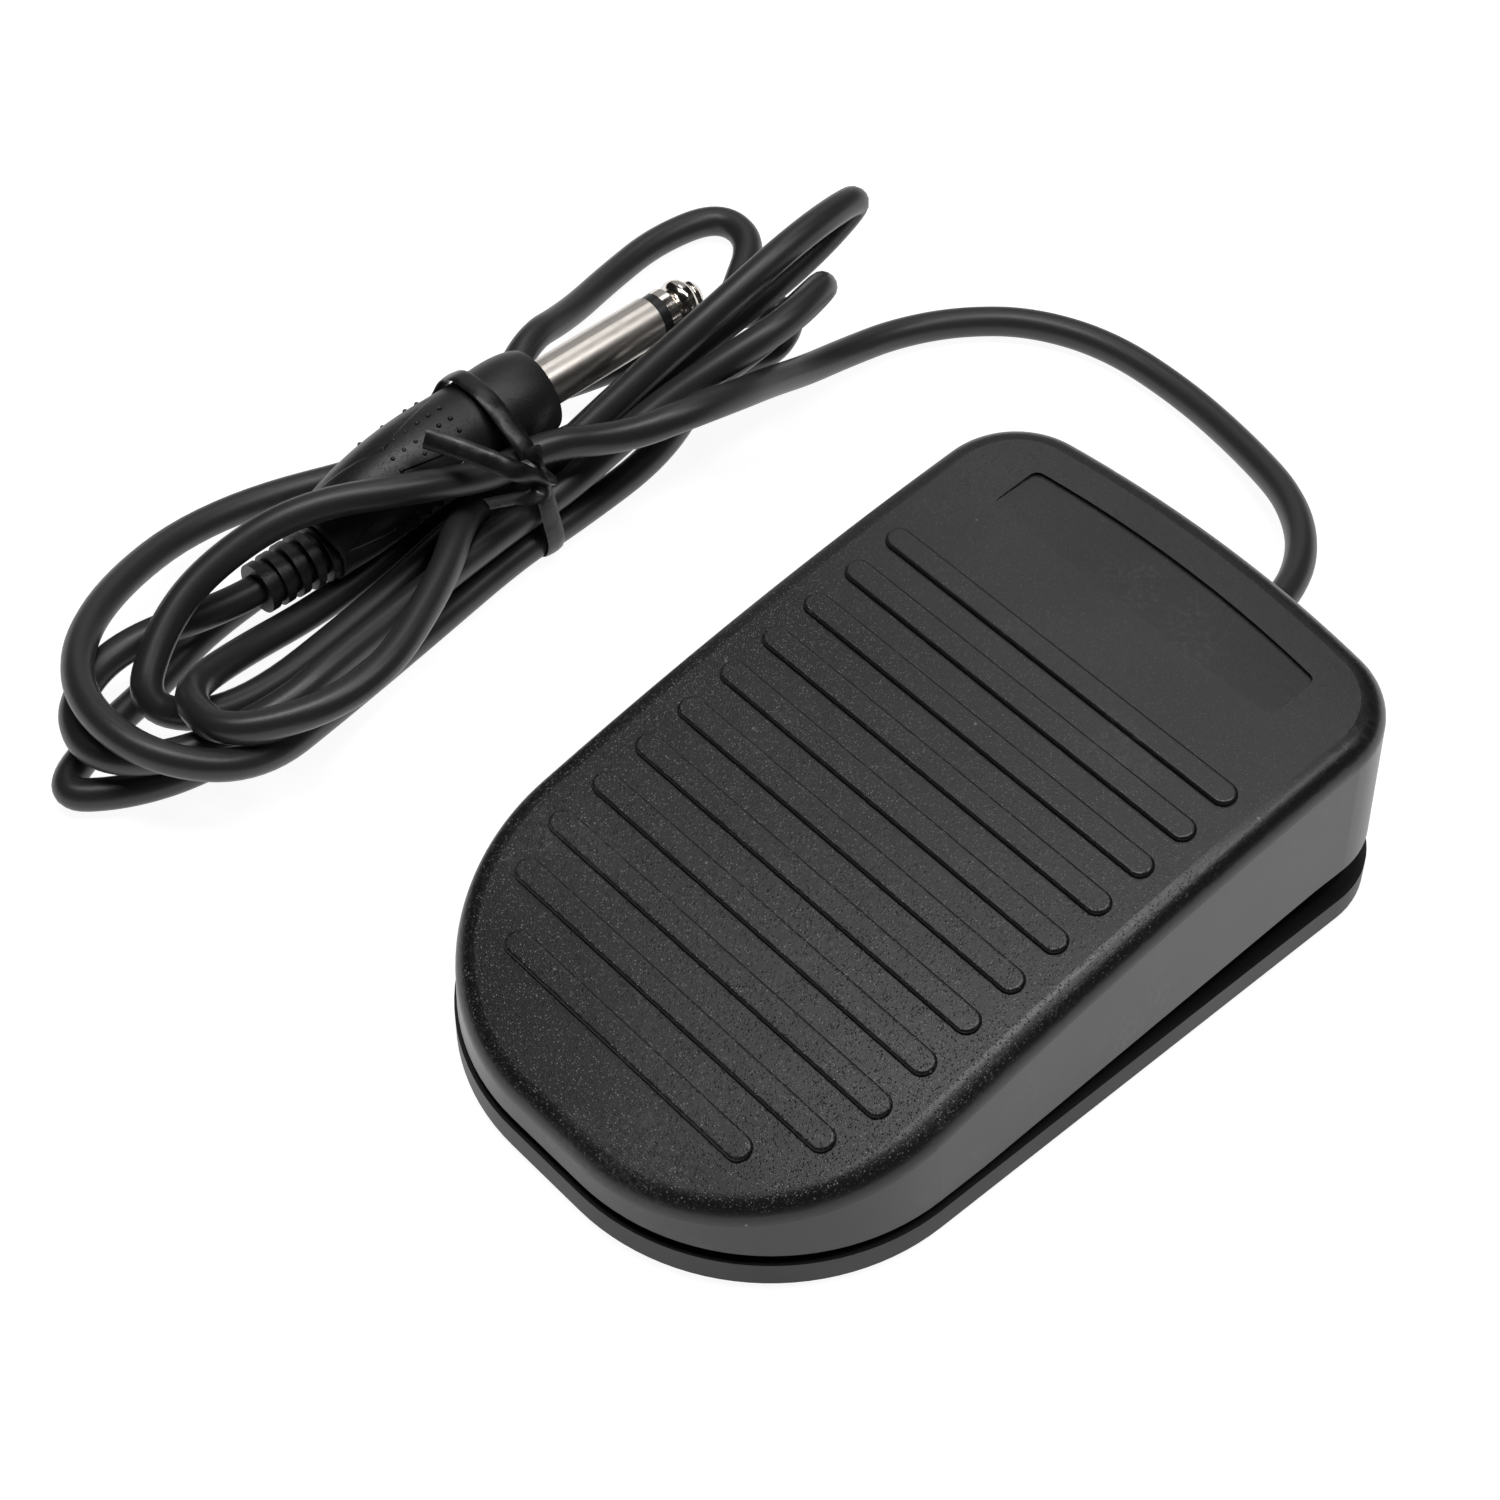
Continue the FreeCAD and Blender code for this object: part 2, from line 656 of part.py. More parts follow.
def stop_screws():
    """Shouldered screws whose heads hang under the ledges of the wells."""
    screws = []
    head_top = stop_ledge_z - washer_gap - washer_thickness
    for side in (-1, 1):
        x = side * stop_x
        head = rod(stop_head_diameter / 2, (x, stop_y, head_top - stop_head_height), (x, stop_y, head_top))
        slot = box(x - stop_head_diameter, x + stop_head_diameter, stop_y - 0.5, stop_y + 0.5,
                   head_top - stop_head_height - 1, head_top - stop_head_height + 0.8)
        shank = rod(stop_shank_diameter / 2, (x, stop_y, head_top - 0.2),
                    (x, stop_y, stop_boss_z + stop_thread_length))
        screws.append(head.cut(slot).fuse(shank).removeSplitter())
    return Part.makeCompound(screws)


def stop_washers():
    washers = []
    low = stop_ledge_z - washer_gap - washer_thickness
    for side in (-1, 1):
        x = side * stop_x
        disc = rod(stop_head_diameter / 2 + 0.2, (x, stop_y, low), (x, stop_y, low + washer_thickness))
        washers.append(disc.cut(rod(stop_shank_diameter / 2, (x, stop_y, low - 1), (x, stop_y, low + 2))))
    return Part.makeCompound(washers)


# Tubes that follow a route


def corner_arcs(route):
    """Straight runs joined by tangent arcs, each as large as its two runs allow."""
    points = [V(*p) for p in route]
    edges = []
    radii = []
    start = points[0]
    for before, corner, after in zip(points, points[1:], points[2:]):
        first, second = corner - before, after - corner
        trim = 0.45 * min(first.Length, second.Length)
        first.normalize()
        second.normalize()
        half_turn = math.acos(max(-1.0, min(1.0, first.dot(second)))) / 2
        radius = trim / math.tan(half_turn)
        inward = second - first
        inward.normalize()
        centre = corner + inward * (radius / math.cos(half_turn))
        arc_start, arc_end = corner - first * trim, corner + second * trim
        edges.append(Part.LineSegment(start, arc_start).toShape())
        edges.append(Part.Arc(arc_start, centre - inward * radius, arc_end).toShape())
        radii.append(radius)
        start = arc_end
    edges.append(Part.LineSegment(start, points[-1]).toShape())
    return Part.Wire(edges), radii


def tube(path, start, direction, diameter):
    """A round tube along a path."""
    ring = Part.Wire(Part.makeCircle(diameter / 2, start, direction))
    return path.makePipeShell([ring], True, False)


def routed_tube(name, route, diameter):
    path, radii = corner_arcs(route)
    solid = tube(path, V(*route[0]), V(*route[1]) - V(*route[0]), diameter)
    expected = math.pi * diameter ** 2 / 4 * path.Length
    print(name, "length %.1f" % path.Length, "volume ratio %.4f" % (solid.Volume / expected),
          "radii", [round(r, 1) for r in radii])
    return solid


def biarc(p0, t0, p1, t1):
    """The meeting point and tangent of two arcs that join two points with given tangents."""
    chord = p1 - p0
    together = t0 + t1
    a = 2 * (1 - t0.dot(t1))
    b = 2 * chord.dot(together)
    c = -chord.dot(chord)
    if abs(a) < 1e-9:
        reach = chord.dot(chord) / (4 * chord.dot(t1))
    else:
        reach = (-b + math.sqrt(b * b - 4 * a * c)) / (2 * a)
    q0, q1 = p0 + t0 * reach, p1 - t1 * reach
    tangent = q1 - q0
    tangent.normalize()
    return (q0 + q1) * 0.5, tangent


def arc_edge(start, tangent, end):
    """An arc that leaves the start along its tangent and passes through the end, and its radius."""
    chord = end - start
    side = chord - tangent * chord.dot(tangent)
    if side.Length < 1e-6:
        return Part.LineSegment(start, end).toShape(), far
    radius = chord.dot(chord) / (2 * side.Length)
    side.normalize()
    half_angle = math.atan2(chord.dot(side), chord.dot(tangent))
    middle = start + tangent * (radius * math.sin(half_angle)) + side * (radius * (1 - math.cos(half_angle)))
    return Part.Arc(start, middle, end).toShape(), radius


def biarc_path(stations):
    """One smooth chain of arcs through points with tangents, and its tightest radius."""
    edges = []
    tightest = far
    for (p0, t0), (p1, t1) in zip(stations, stations[1:]):
        if (p1 - p0 - t0 * (p1 - p0).Length).Length < 1e-6:
            edges.append(Part.LineSegment(p0, p1).toShape())
            continue
        middle, tangent = biarc(p0, t0, p1, t1)
        for start, along, end in ((p0, t0, middle), (middle, tangent, p1)):
            edge, radius = arc_edge(start, along, end)
            edges.append(edge)
            tightest = min(tightest, radius)
    return Part.Wire(edges), tightest


def station_tangent(before, here, after):
    """The direction of a smooth line through a point, level at its humps and hollows."""
    a, b = here - before, after - here
    la, lb = a.Length, b.Length
    a.normalize()
    b.normalize()
    tangent = a * lb + b * la
    tangent.normalize()
    if a.x * b.x + a.y * b.y > 0:
        rise_a = a.z / math.hypot(a.x, a.y)
        rise_b = b.z / math.hypot(b.x, b.y)
        rise = 0.0 if rise_a * rise_b <= 0 else 2 * rise_a * rise_b / (rise_a + rise_b)
        tangent = V(tangent.x, tangent.y, rise * math.hypot(tangent.x, tangent.y))
        tangent.normalize()
    return tangent


def waist_point(place):
    x, z = waist[place]
    return V(x, waist_y, z)


def hank_stations():
    """Every point of the hank with its direction: square through the waist, smooth round the loops."""
    start = waist_point("start")
    stations = [(start, V(0, -1, 0)), (start - Y * waist_run, V(0, -1, 0))]
    for points, place in hank_loops:
        to_plug = place == "plug"
        if to_plug:
            end, arrival = V(plug_x, relief_end_y - waist_run, relief_z), V(0, 1, 0)
        else:
            end = waist_point(place)
            arrival = V(0, -1 if points[0][1] > waist_y else 1, 0)
        chain = [stations[-1][0]] + [V(*p) for p in points] + [end]
        for before, here, after in zip(chain, chain[1:], chain[2:]):
            stations.append((here, station_tangent(before, here, after)))
        stations.append((end, arrival))
    stations.append((V(plug_x, relief_end_y, relief_z), V(0, 1, 0)))
    return stations


def least_gap(path, diameter, step=1.0):
    """The smallest gap between strands of the same tube, measured on points along its path."""
    points = []
    travelled = 0.0
    for edge in path.Edges:
        steps = max(2, int(edge.Length / step))
        for index in range(steps):
            share = index / steps
            along = edge.FirstParameter + (edge.LastParameter - edge.FirstParameter) * share
            points.append((travelled + edge.Length * share, edge.valueAt(along)))
        travelled += edge.Length
    least = far
    for index, (here, p) in enumerate(points):
        for there, q in points[index + 1:]:
            if there - here > 3 * diameter:
                least = min(least, p.distanceToPoint(q))
    return least - diameter


def cord_hank():
    stations = hank_stations()
    path, tightest = biarc_path(stations)
    solid = tube(path, stations[0][0], stations[0][1], cord_diameter)
    expected = math.pi * cord_radius ** 2 * path.Length
    print("cord_hank length %.1f" % path.Length, "volume ratio %.4f" % (solid.Volume / expected),
          "tightest radius %.2f" % tightest, "least gap %.2f" % least_gap(path, cord_diameter))
    return solid


def return_spring():
    """Compression spring: a quarter turn to each station, with a nearly closed turn at each end."""
    radius = (spring_outer_diameter - spring_wire) / 2
    low = floor_top + spring_seat_height + spring_wire / 2 + spring_end_gap
    high = spring_boss_z - spring_wire / 2 - spring_end_gap
    closed_pitch = spring_wire + 0.5
    open_pitch = (high - low - 2 * closed_pitch) / (spring_turns - 2)
    stations = []
    z = low
    for quarter in range(4 * spring_turns + 1):
        angle = quarter * math.pi / 2
        at_end = quarter < 4 or quarter >= 4 * (spring_turns - 1)
        pitch = closed_pitch if at_end else open_pitch
        tangent = V(-math.sin(angle) * radius, math.cos(angle) * radius, pitch / (2 * math.pi))
        tangent.normalize()
        stations.append((V(radius * math.cos(angle), spring_y + radius * math.sin(angle), z), tangent))
        z += pitch / 4
    path, tightest = biarc_path(stations)
    print("return_spring least gap %.2f" % least_gap(path, spring_wire, 0.5), "tightest %.2f" % tightest)
    return tube(path, stations[0][0], stations[0][1], spring_wire)


# Switch


def switch_block(x0, x1):
    """A slice of the switch's case with its ear for the lever."""
    y0, y1 = switch_y - switch_length / 2, switch_y + switch_length / 2
    slice_ = box(x0, x1, y0, y1, switch_base_z, switch_top)
    for y in switch_hole_ys():
        z = switch_base_z + switch_hole_height
        slice_ = slice_.cut(rod(switch_screw_diameter / 2 + 0.1, (-half_width, y, z), (half_width, y, z)))
    return slice_


def switch_ear(side):
    outer = side * switch_width / 2
    x0, x1 = sorted((outer, outer - side * ear_thickness))
    ear = box(x0, x1, pivot_y - min(ear_half_length, lever_pivot_inset), pivot_y + ear_half_length,
              switch_top - 0.5, switch_top + ear_rise)
    return ear


def trunnion_hole():
    radius = trunnion_radius + trunnion_clearance
    return rod(radius, (-half_width, pivot_y, pivot_z), (half_width, pivot_y, pivot_z))


def switch_case():
    lid_x = switch_width / 2 - switch_lid_thickness
    case = switch_block(-switch_width / 2, lid_x).fuse(switch_ear(-1))
    half = plunger_width / 2 + plunger_clearance
    y = pivot_y + plunger_arm
    floor = switch_top + plunger_rise - plunger_height - plunger_stroke_room
    case = case.cut(box(-half, half, y - half, y + half, floor, far))
    return case.cut(trunnion_hole()).removeSplitter()


def switch_case_lid():
    lid_x = switch_width / 2 - switch_lid_thickness
    lid = switch_block(lid_x, switch_width / 2).fuse(switch_ear(1))
    return lid.cut(trunnion_hole()).removeSplitter()


def switch_lever():
    """Sprung steel blade with a rolled end that turns on two trunnions in the case's ears."""
    half = lever_width / 2
    blade = box(-half, half, pivot_y, pivot_y + lever_length, pivot_z - lever_thickness / 2,
                pivot_z + lever_thickness / 2)
    blade = rotated(blade, V(0, pivot_y, pivot_z), X, lever_rest_deg)
    barrel = rod(lever_barrel_radius, (-half, pivot_y, pivot_z), (half, pivot_y, pivot_z))
    reach = switch_width / 2 - 0.1
    trunnions = rod(trunnion_radius, (-reach, pivot_y, pivot_z), (reach, pivot_y, pivot_z))
    return joined([blade, barrel, trunnions])


def switch_plunger():
    half = plunger_width / 2
    y = pivot_y + plunger_arm
    top = switch_top + plunger_rise
    pin = box(-half, half, y - half, y + half, top - plunger_height, top)
    upper = [e for e in pin.Edges if min(v.Z for v in e.Vertexes) > top - 0.01]
    return pin.makeFillet(0.3, upper)


def terminal_ys():
    return [switch_y - terminal_pitch, switch_y, switch_y + terminal_pitch]


def switch_terminals():
    blades = []
    for y in terminal_ys():
        blade = box(-terminal_thickness / 2, terminal_thickness / 2, y - terminal_width / 2,
                    y + terminal_width / 2, switch_base_z - terminal_length, switch_base_z)
        blades.append(blade)
    return Part.makeCompound(blades)


def switch_screws():
    screws = []
    z = switch_base_z + switch_hole_height
    face = switch_width / 2
    for y in switch_hole_ys():
        head = rod(switch_screw_head / 2, (face, y, z), (face + switch_screw_head_height, y, z))
        shank = rod(switch_screw_diameter / 2, (face + 0.2, y, z), (-face - bracket_thickness, y, z))
        screws.append(head.fuse(shank).removeSplitter())
    return Part.makeCompound(screws)


# Cord entry


def cable_bush():
    """Rubber bush with a flange each side of the tray's rear wall and a tapered tail."""
    inner_y = bush_y - upstand_thickness - bush_seat_gap
    pieces = [
        rod(bush_flange_radius, (0, inner_y - bush_flange_thickness, cord_exit_z), (0, inner_y, cord_exit_z)),
        rod(bush_neck_radius, (0, inner_y, cord_exit_z), (0, bush_y, cord_exit_z)),
        rod(bush_flange_radius, (0, bush_y, cord_exit_z), (0, bush_y + bush_flange_thickness, cord_exit_z)),
        Part.makeCone(bush_neck_radius, bush_tail_radius, bush_tail,
                      V(0, bush_y + bush_flange_thickness, cord_exit_z), Y),
    ]
    bush = joined(pieces)
    bore = rod(cord_radius + bush_bore_clearance, (0, inner_y - over, cord_exit_z), (0, far, cord_exit_z))
    return bush.cut(bore)


def inner_cable():
    return rod(cord_radius, (0, cable_end_y, cord_exit_z), (0, lead_route[0][1], cord_exit_z))


def cable_clamp():
    low = cord_exit_z + cord_radius
    reach = clamp_screw_x + clamp_boss_radius
    bar = box(-reach, reach, clamp_y - clamp_width / 2, clamp_y + clamp_width / 2, low, low + clamp_thickness)
    upright = [e for e in bar.Edges if abs(e.tangentAt(e.FirstParameter).z) > 0.9]
    bar = bar.makeFillet(clamp_width / 2 - 0.4, upright)
    for side in (-1, 1):
        x = side * clamp_screw_x
        bar = bar.cut(rod(clamp_screw_diameter / 2 + 0.1, (x, clamp_y, low - 1), (x, clamp_y, low + 5)))
    return bar


def clamp_screws():
    screws = []
    top = cord_exit_z + cord_radius + clamp_thickness
    for side in (-1, 1):
        x = side * clamp_screw_x
        head = rod(clamp_head_diameter / 2, (x, clamp_y, top), (x, clamp_y, top + clamp_head_height))
        rim = [e for e in head.Edges if min(v.Z for v in e.Vertexes) > top + clamp_head_height - 0.01]
        head = head.makeFillet(0.6, rim)
        shank = rod(clamp_screw_diameter / 2, (x, clamp_y, floor_top + 1.2), (x, clamp_y, top + 0.2))
        screws.append(head.fuse(shank).removeSplitter())
    return Part.makeCompound(screws)


def terminal_wire(name, side, terminal):
    """A thin wire from the cord's end, down beside the switch and square onto a terminal."""
    y = terminal_ys()[terminal]
    start_x = side * cord_radius * 0.45
    wire_z = switch_base_z - terminal_length * 0.65
    out = 1.5 + 1.6 * (2 - terminal)
    route = [
        (start_x, cable_end_y, cord_exit_z), (start_x, cable_end_y - 1.6, cord_exit_z),
        ((start_x + out) / 2, cable_end_y - 3.6, (cord_exit_z + wire_z) / 2), (out, cable_end_y - 6, wire_z),
        (out, y + 2.4, wire_z - 0.1), (terminal_thickness / 2 + 1.6, y, wire_z),
        (terminal_thickness / 2, y, wire_z),
    ]
    return routed_tube(name, route, wire_diameter)


# Plug


def sections_loft(sections, x):
    """A round body through circles square to a line that sags in Y and Z."""
    wires = []
    last = len(sections) - 1
    for index, (y, z, radius) in enumerate(sections):
        if index in (0, last):
            along = V(0, -1, 0)
        else:
            before, after = sections[index - 1], sections[index + 1]
            along = V(0, after[0] - before[0], after[1] - before[1])
        wires.append(Part.Wire(Part.makeCircle(radius, V(x, y, z), along)))
    return Part.makeLoft(wires, True, False)


def plug_handle():
    return sections_loft(handle_sections, plug_x)


def plug_relief():
    """Slotted-looking strain relief: a core with rings that shrink towards the cord."""
    start = handle_sections[-1][0]
    pieces = [rod(relief_core_radius, (plug_x, start, relief_z), (plug_x, relief_end_y, relief_z))]
    pitch = (relief_length - relief_rib_width) / (relief_rib_count - 1)
    for index in range(relief_rib_count):
        share = index / (relief_rib_count - 1)
        radius = relief_rib_radii[0] + (relief_rib_radii[1] - relief_rib_radii[0]) * share
        y = start - pitch * index
        pieces.append(rod(radius, (plug_x, y, relief_z), (plug_x, y - relief_rib_width, relief_z)))
    return joined(pieces)


def turned(profile):
    """A turned piece on the plug's axis from points of y and radius."""
    corners = [V(plug_x, y, plug_z + r) for y, r in profile]
    face = Part.Face(Part.makePolygon(corners + corners[:1]))
    return face.revolve(V(plug_x, 0, plug_z), Y, 360)


def plug_sleeve():
    end = sleeve_start_y + sleeve_length
    return turned([(sleeve_start_y, sleeve_bore), (sleeve_start_y, sleeve_radius), (end, sleeve_radius),
                   (end, sleeve_bore)])


def plug_insulator():
    """Tube between the sleeve and the tip's rod, ending in a ring that shows."""
    end = sleeve_start_y + sleeve_length
    rim = sleeve_radius - insulator_setback
    return turned([(sleeve_start_y, insulator_bore), (sleeve_start_y, sleeve_bore), (end, sleeve_bore),
                   (end, rim), (end + insulator_length, rim), (end + insulator_length, insulator_bore)])


def plug_tip():
    """The tip contact, turned on a rod inside the sleeve: collar, neck, ball, waist and flared round end."""
    start = sleeve_start_y + sleeve_length + insulator_length
    collar_end = start + tip_collar[1]
    neck_end = collar_end + tip_neck[1]
    ball_middle = tip_ball[0] - tip_ball[1]
    crest_y = neck_end + math.sqrt(tip_ball[1] ** 2 - (tip_neck[0] - ball_middle) ** 2)
    ball_end = crest_y + math.sqrt(tip_ball[1] ** 2 - (tip_shoulder - ball_middle) ** 2)
    waist_end = ball_end + tip_waist[1]
    end = waist_end + tip_end[1]
    cap_radius = (tip_end[0] ** 2 + tip_end[1] ** 2) / (2 * tip_end[1])
    half_cap = math.asin(tip_end[0] / cap_radius) / 2

    def at(y, radius):
        return V(plug_x, y, plug_z + radius)

    neck = at(neck_end, tip_neck[0])
    crest = at(crest_y, tip_ball[0])
    shoulder = at(ball_end, tip_shoulder)
    waist_middle = at((ball_end + waist_end) / 2, tip_waist[0])
    rim = at(waist_end, tip_end[0])
    cap_middle = at(end - cap_radius * (1 - math.cos(half_cap)), cap_radius * math.sin(half_cap))
    straight = Part.makePolygon([at(end, 0), at(sleeve_start_y, 0), at(sleeve_start_y, insulator_bore),
                                 at(start, insulator_bore), at(start, tip_collar[0]),
                                 at(collar_end, tip_collar[0]), neck])
    arcs = [Part.Arc(neck, crest, shoulder), Part.Arc(shoulder, waist_middle, rim),
            Part.Arc(rim, cap_middle, at(end, 0))]
    face = Part.Face(Part.Wire(straight.Edges + [arc.toShape() for arc in arcs]))
    return face.revolve(V(plug_x, 0, plug_z), Y, 360)


# Twist tie


def hull_face(circles, y):
    """A taut outline round circles in the plane of the waist, given in order over the top."""
    count = len(circles)
    normals = []
    for index in range(count):
        (x0, z0, r0), (x1, z1, r1) = circles[index], circles[(index + 1) % count]
        run = math.hypot(x1 - x0, z1 - z0)
        dx, dz = (x1 - x0) / run, (z1 - z0) / run
        sine = (r0 - r1) / run
        cosine = math.sqrt(1 - sine ** 2)
        normals.append((dx * sine - dz * cosine, dz * sine + dx * cosine))
    edges = []
    for index in range(count):
        x0, z0, r0 = circles[index]
        x1, z1, r1 = circles[(index + 1) % count]
        before, after = normals[index - 1], normals[index]
        middle = (before[0] + after[0], before[1] + after[1])
        size = math.hypot(*middle)
        points = [V(x0 + r0 * n[0] / s, y, z0 + r0 * n[1] / s) for n, s in ((before, 1), (middle, size), (after, 1))]
        edges.append(Part.Arc(*points).toShape())
        edges.append(Part.LineSegment(points[2], V(x1 + r1 * after[0], y, z1 + r1 * after[1])).toShape())
    return Part.Face(Part.Wire(edges))


def strip(route, twist, start_angle):
    """A flat strip that follows a route and may twist, as a loft through rectangles."""
    points = [V(*p) for p in route]
    wires = []
    last = len(points) - 1
    for index, point in enumerate(points):
        along = points[min(index + 1, last)] - points[max(index - 1, 0)]
        along.normalize()
        across = along.cross(Z)
        across.normalize()
        turn = FreeCAD.Rotation(along, start_angle + twist * 360 * index / last)
        across = turn.multVec(across)
        up = across.cross(along)
        a, b = across * (tail_width / 2), up * (tail_thickness / 2)
        corners = [point - a - b, point + a - b, point + a + b, point - a + b]
        wires.append(Part.makePolygon(corners + corners[:1]))
    return Part.makeLoft(wires, True, True)


def cord_tie():
    """Flat plastic-covered wire round the waist, twisted once, with two loose tails."""
    strands = [(waist[place][0], waist[place][1], cord_radius) for place in ("a", "start", "h", "f")]
    handle = [(plug_x, z, radius) for y, z, radius in handle_sections if y == waist_y]
    circles = [strands[0]] + handle + strands[1:]
    y = waist_y - tie_width / 2
    inner = hull_face([(x, z, r + tie_clearance) for x, z, r in circles], y - 1)
    outer = hull_face([(x, z, r + tie_clearance + tie_thickness) for x, z, r in circles], y)
    band = outer.extrude(V(0, tie_width, 0)).cut(inner.extrude(V(0, tie_width + 2, 0)))
    middle = [tuple((a * (4 - k) + b * k) / 4 for a, b in zip(*twist_route)) for k in range(5)]
    twisted = strip(middle, twist_turns, 0)
    tails = [strip(long_tail, 0, 0), strip(short_tail, 0, 0)]
    return joined([band, twisted] + tails)


nodes = {
    "base_tray": base_tray(),
    "rubber_feet": rubber_feet(),
    "hinge_pin": hinge_pin(),
    "hinge_clips": hinge_clips(),
    "pedal_cover": pedal_cover(),
    "stop_screws": stop_screws(),
    "stop_washers": stop_washers(),
    "return_spring": return_spring(),
    "switch_case": switch_case(),
    "switch_case_lid": switch_case_lid(),
    "switch_lever": switch_lever(),
    "switch_plunger": switch_plunger(),
    "switch_terminals": switch_terminals(),
    "switch_screws": switch_screws(),
    "cable_bush": cable_bush(),
    "inner_cable": inner_cable(),
    "cable_clamp": cable_clamp(),
    "clamp_screws": clamp_screws(),
    "signal_wire": terminal_wire("signal_wire", -1, 1),
    "ground_wire": terminal_wire("ground_wire", 1, 0),
    "cord_lead": routed_tube("cord_lead", lead_route, cord_diameter),
    "cord_hank": cord_hank(),
    "cord_tie": cord_tie(),
    "plug_handle": plug_handle(),
    "plug_relief": plug_relief(),
    "plug_sleeve": plug_sleeve(),
    "plug_insulator": plug_insulator(),
    "plug_tip": plug_tip(),
}

os.makedirs("parts", exist_ok=True)
for name, shape in nodes.items():
    print(name, shape.isValid(), "solids %d" % len(shape.Solids), "volume %.1f" % shape.Volume)
    shape.exportStep("parts/%s.step" % name)
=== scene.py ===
import math

import bpy
from mathutils import Matrix, Quaternion, Vector


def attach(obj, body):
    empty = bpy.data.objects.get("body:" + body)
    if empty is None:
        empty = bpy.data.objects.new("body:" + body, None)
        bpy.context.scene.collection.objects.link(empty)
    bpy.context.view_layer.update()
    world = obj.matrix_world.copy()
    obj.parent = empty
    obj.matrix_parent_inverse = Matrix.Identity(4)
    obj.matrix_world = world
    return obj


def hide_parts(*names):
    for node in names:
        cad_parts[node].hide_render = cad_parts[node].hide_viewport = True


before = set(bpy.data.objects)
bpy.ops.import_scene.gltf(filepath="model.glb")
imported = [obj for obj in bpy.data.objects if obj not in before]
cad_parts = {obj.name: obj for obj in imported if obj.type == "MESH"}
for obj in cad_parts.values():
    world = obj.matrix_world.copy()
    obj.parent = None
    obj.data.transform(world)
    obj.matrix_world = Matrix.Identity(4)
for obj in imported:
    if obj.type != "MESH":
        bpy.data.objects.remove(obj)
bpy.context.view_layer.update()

# Camera: a long lens close over the pedal, turned to its front right. It looks at a point on the floor
# between the pedal and the hank, and is rolled by under half a degree.
camera_azimuth = math.radians(47.671)
camera_elevation = math.radians(49.591)
camera_roll = math.radians(0.436)
camera_distance = 0.430713
camera_lens_mm = 86.64
camera_sensor_mm = 36.0
camera_nearest, camera_furthest = 0.01, 10.0
camera_target = Vector((-0.03045, 0.00522, 0.0008))
camera_back = Vector((
    math.sin(camera_azimuth) * math.cos(camera_elevation),
    -math.cos(camera_azimuth) * math.cos(camera_elevation),
    math.sin(camera_elevation),
))
bpy.ops.object.camera_add(location=camera_target + camera_back * camera_distance)
camera = bpy.context.object
camera.name = "photo_camera"
camera.data.lens = camera_lens_mm
camera.data.sensor_width = camera_sensor_mm
camera.data.clip_start = camera_nearest
camera.data.clip_end = camera_furthest
camera.rotation_mode = "QUATERNION"
camera.rotation_quaternion = Quaternion(camera_back, camera_roll) @ (-camera_back).to_track_quat("-Z", "Y")
bpy.context.scene.camera = camera

# Studio: a glossless white floor lit from within like a light table, so that shadows on it stay faint, a
# dark room behind a white backdrop, four soft square lamps overhead and a wide panel behind. None of it is
# part of the object.
floor_width = 4.0
floor_white = (0.3, 0.3, 0.3, 1)
floor_glow = 0.93
backdrop_white = (1, 1, 1, 1)
sky_strength = 0.25
lamp_aim = (-0.01, 0, 0.05)
lamp_width = 0.3
panel_width = 1.0

bpy.ops.mesh.primitive_plane_add(size=floor_width, location=(0, 0, 0))
floor = bpy.context.object
floor.name = "studio_floor"
floor_paint = bpy.data.materials.new("studio_floor_paint")
floor_paint.use_nodes = True
floor_shader = floor_paint.node_tree.nodes["Principled BSDF"]
floor_shader.inputs["Base Color"].default_value = floor_white
floor_shader.inputs["Roughness"].default_value = 1.0
floor_shader.inputs["Emission Color"].default_value = (1, 1, 1, 1)
floor_shader.inputs["Emission Strength"].default_value = floor_glow
floor.data.materials.append(floor_paint)

sky = bpy.data.worlds.new("studio_sky")
sky.use_nodes = True
sky_tree = sky.node_tree
room = sky_tree.nodes["Background"]
room.inputs["Strength"].default_value = sky_strength
backdrop = sky_tree.nodes.new("ShaderNodeBackground")
backdrop.inputs["Color"].default_value = backdrop_white
seen = sky_tree.nodes.new("ShaderNodeLightPath").outputs["Is Camera Ray"]
either = sky_tree.nodes.new("ShaderNodeMixShader")
sky_tree.links.new(seen, either.inputs["Fac"])
sky_tree.links.new(room.outputs["Background"], either.inputs[1])
sky_tree.links.new(backdrop.outputs["Background"], either.inputs[2])
sky_tree.links.new(either.outputs["Shader"], sky_tree.nodes["World Output"].inputs["Surface"])
bpy.context.scene.world = sky
bpy.context.scene.view_settings.view_transform = "Standard"

for lamp_name, lamp_place, width, power in (
    ("lamp_front", (-0.2, -0.1, 0.9), lamp_width, 1.5),
    ("lamp_top", (-0.05, 0.1, 0.9), lamp_width, 1.9),
    ("lamp_behind_left", (-0.45, 0.45, 0.9), lamp_width, 0.6),
    ("lamp_behind_right", (0.3, 0.3, 0.9), lamp_width, 1.6),
    ("lamp_panel", (-0.78, 0.68, 0.56), panel_width, 1.15),
):
    bpy.ops.object.light_add(type="AREA", location=lamp_place)
    lamp = bpy.context.object
    lamp.name = lamp_name
    lamp.data.shape = "SQUARE"
    lamp.data.size = width
    lamp.data.energy = power
    lamp.rotation_mode = "QUATERNION"
    lamp.rotation_quaternion = (Vector(lamp_aim) - Vector(lamp_place)).to_track_quat("-Z", "Y")

# Base tray: the moulded black tray that stands on the floor and carries everything inside. It is satin
# ABS with a fine spark-eroded grain, a little rubbed and dusty, and its ledge catches the light.
tray_black = (0.0045, 0.0045, 0.005, 1)
tray_rubbed = (0.03, 0.03, 0.031, 1)


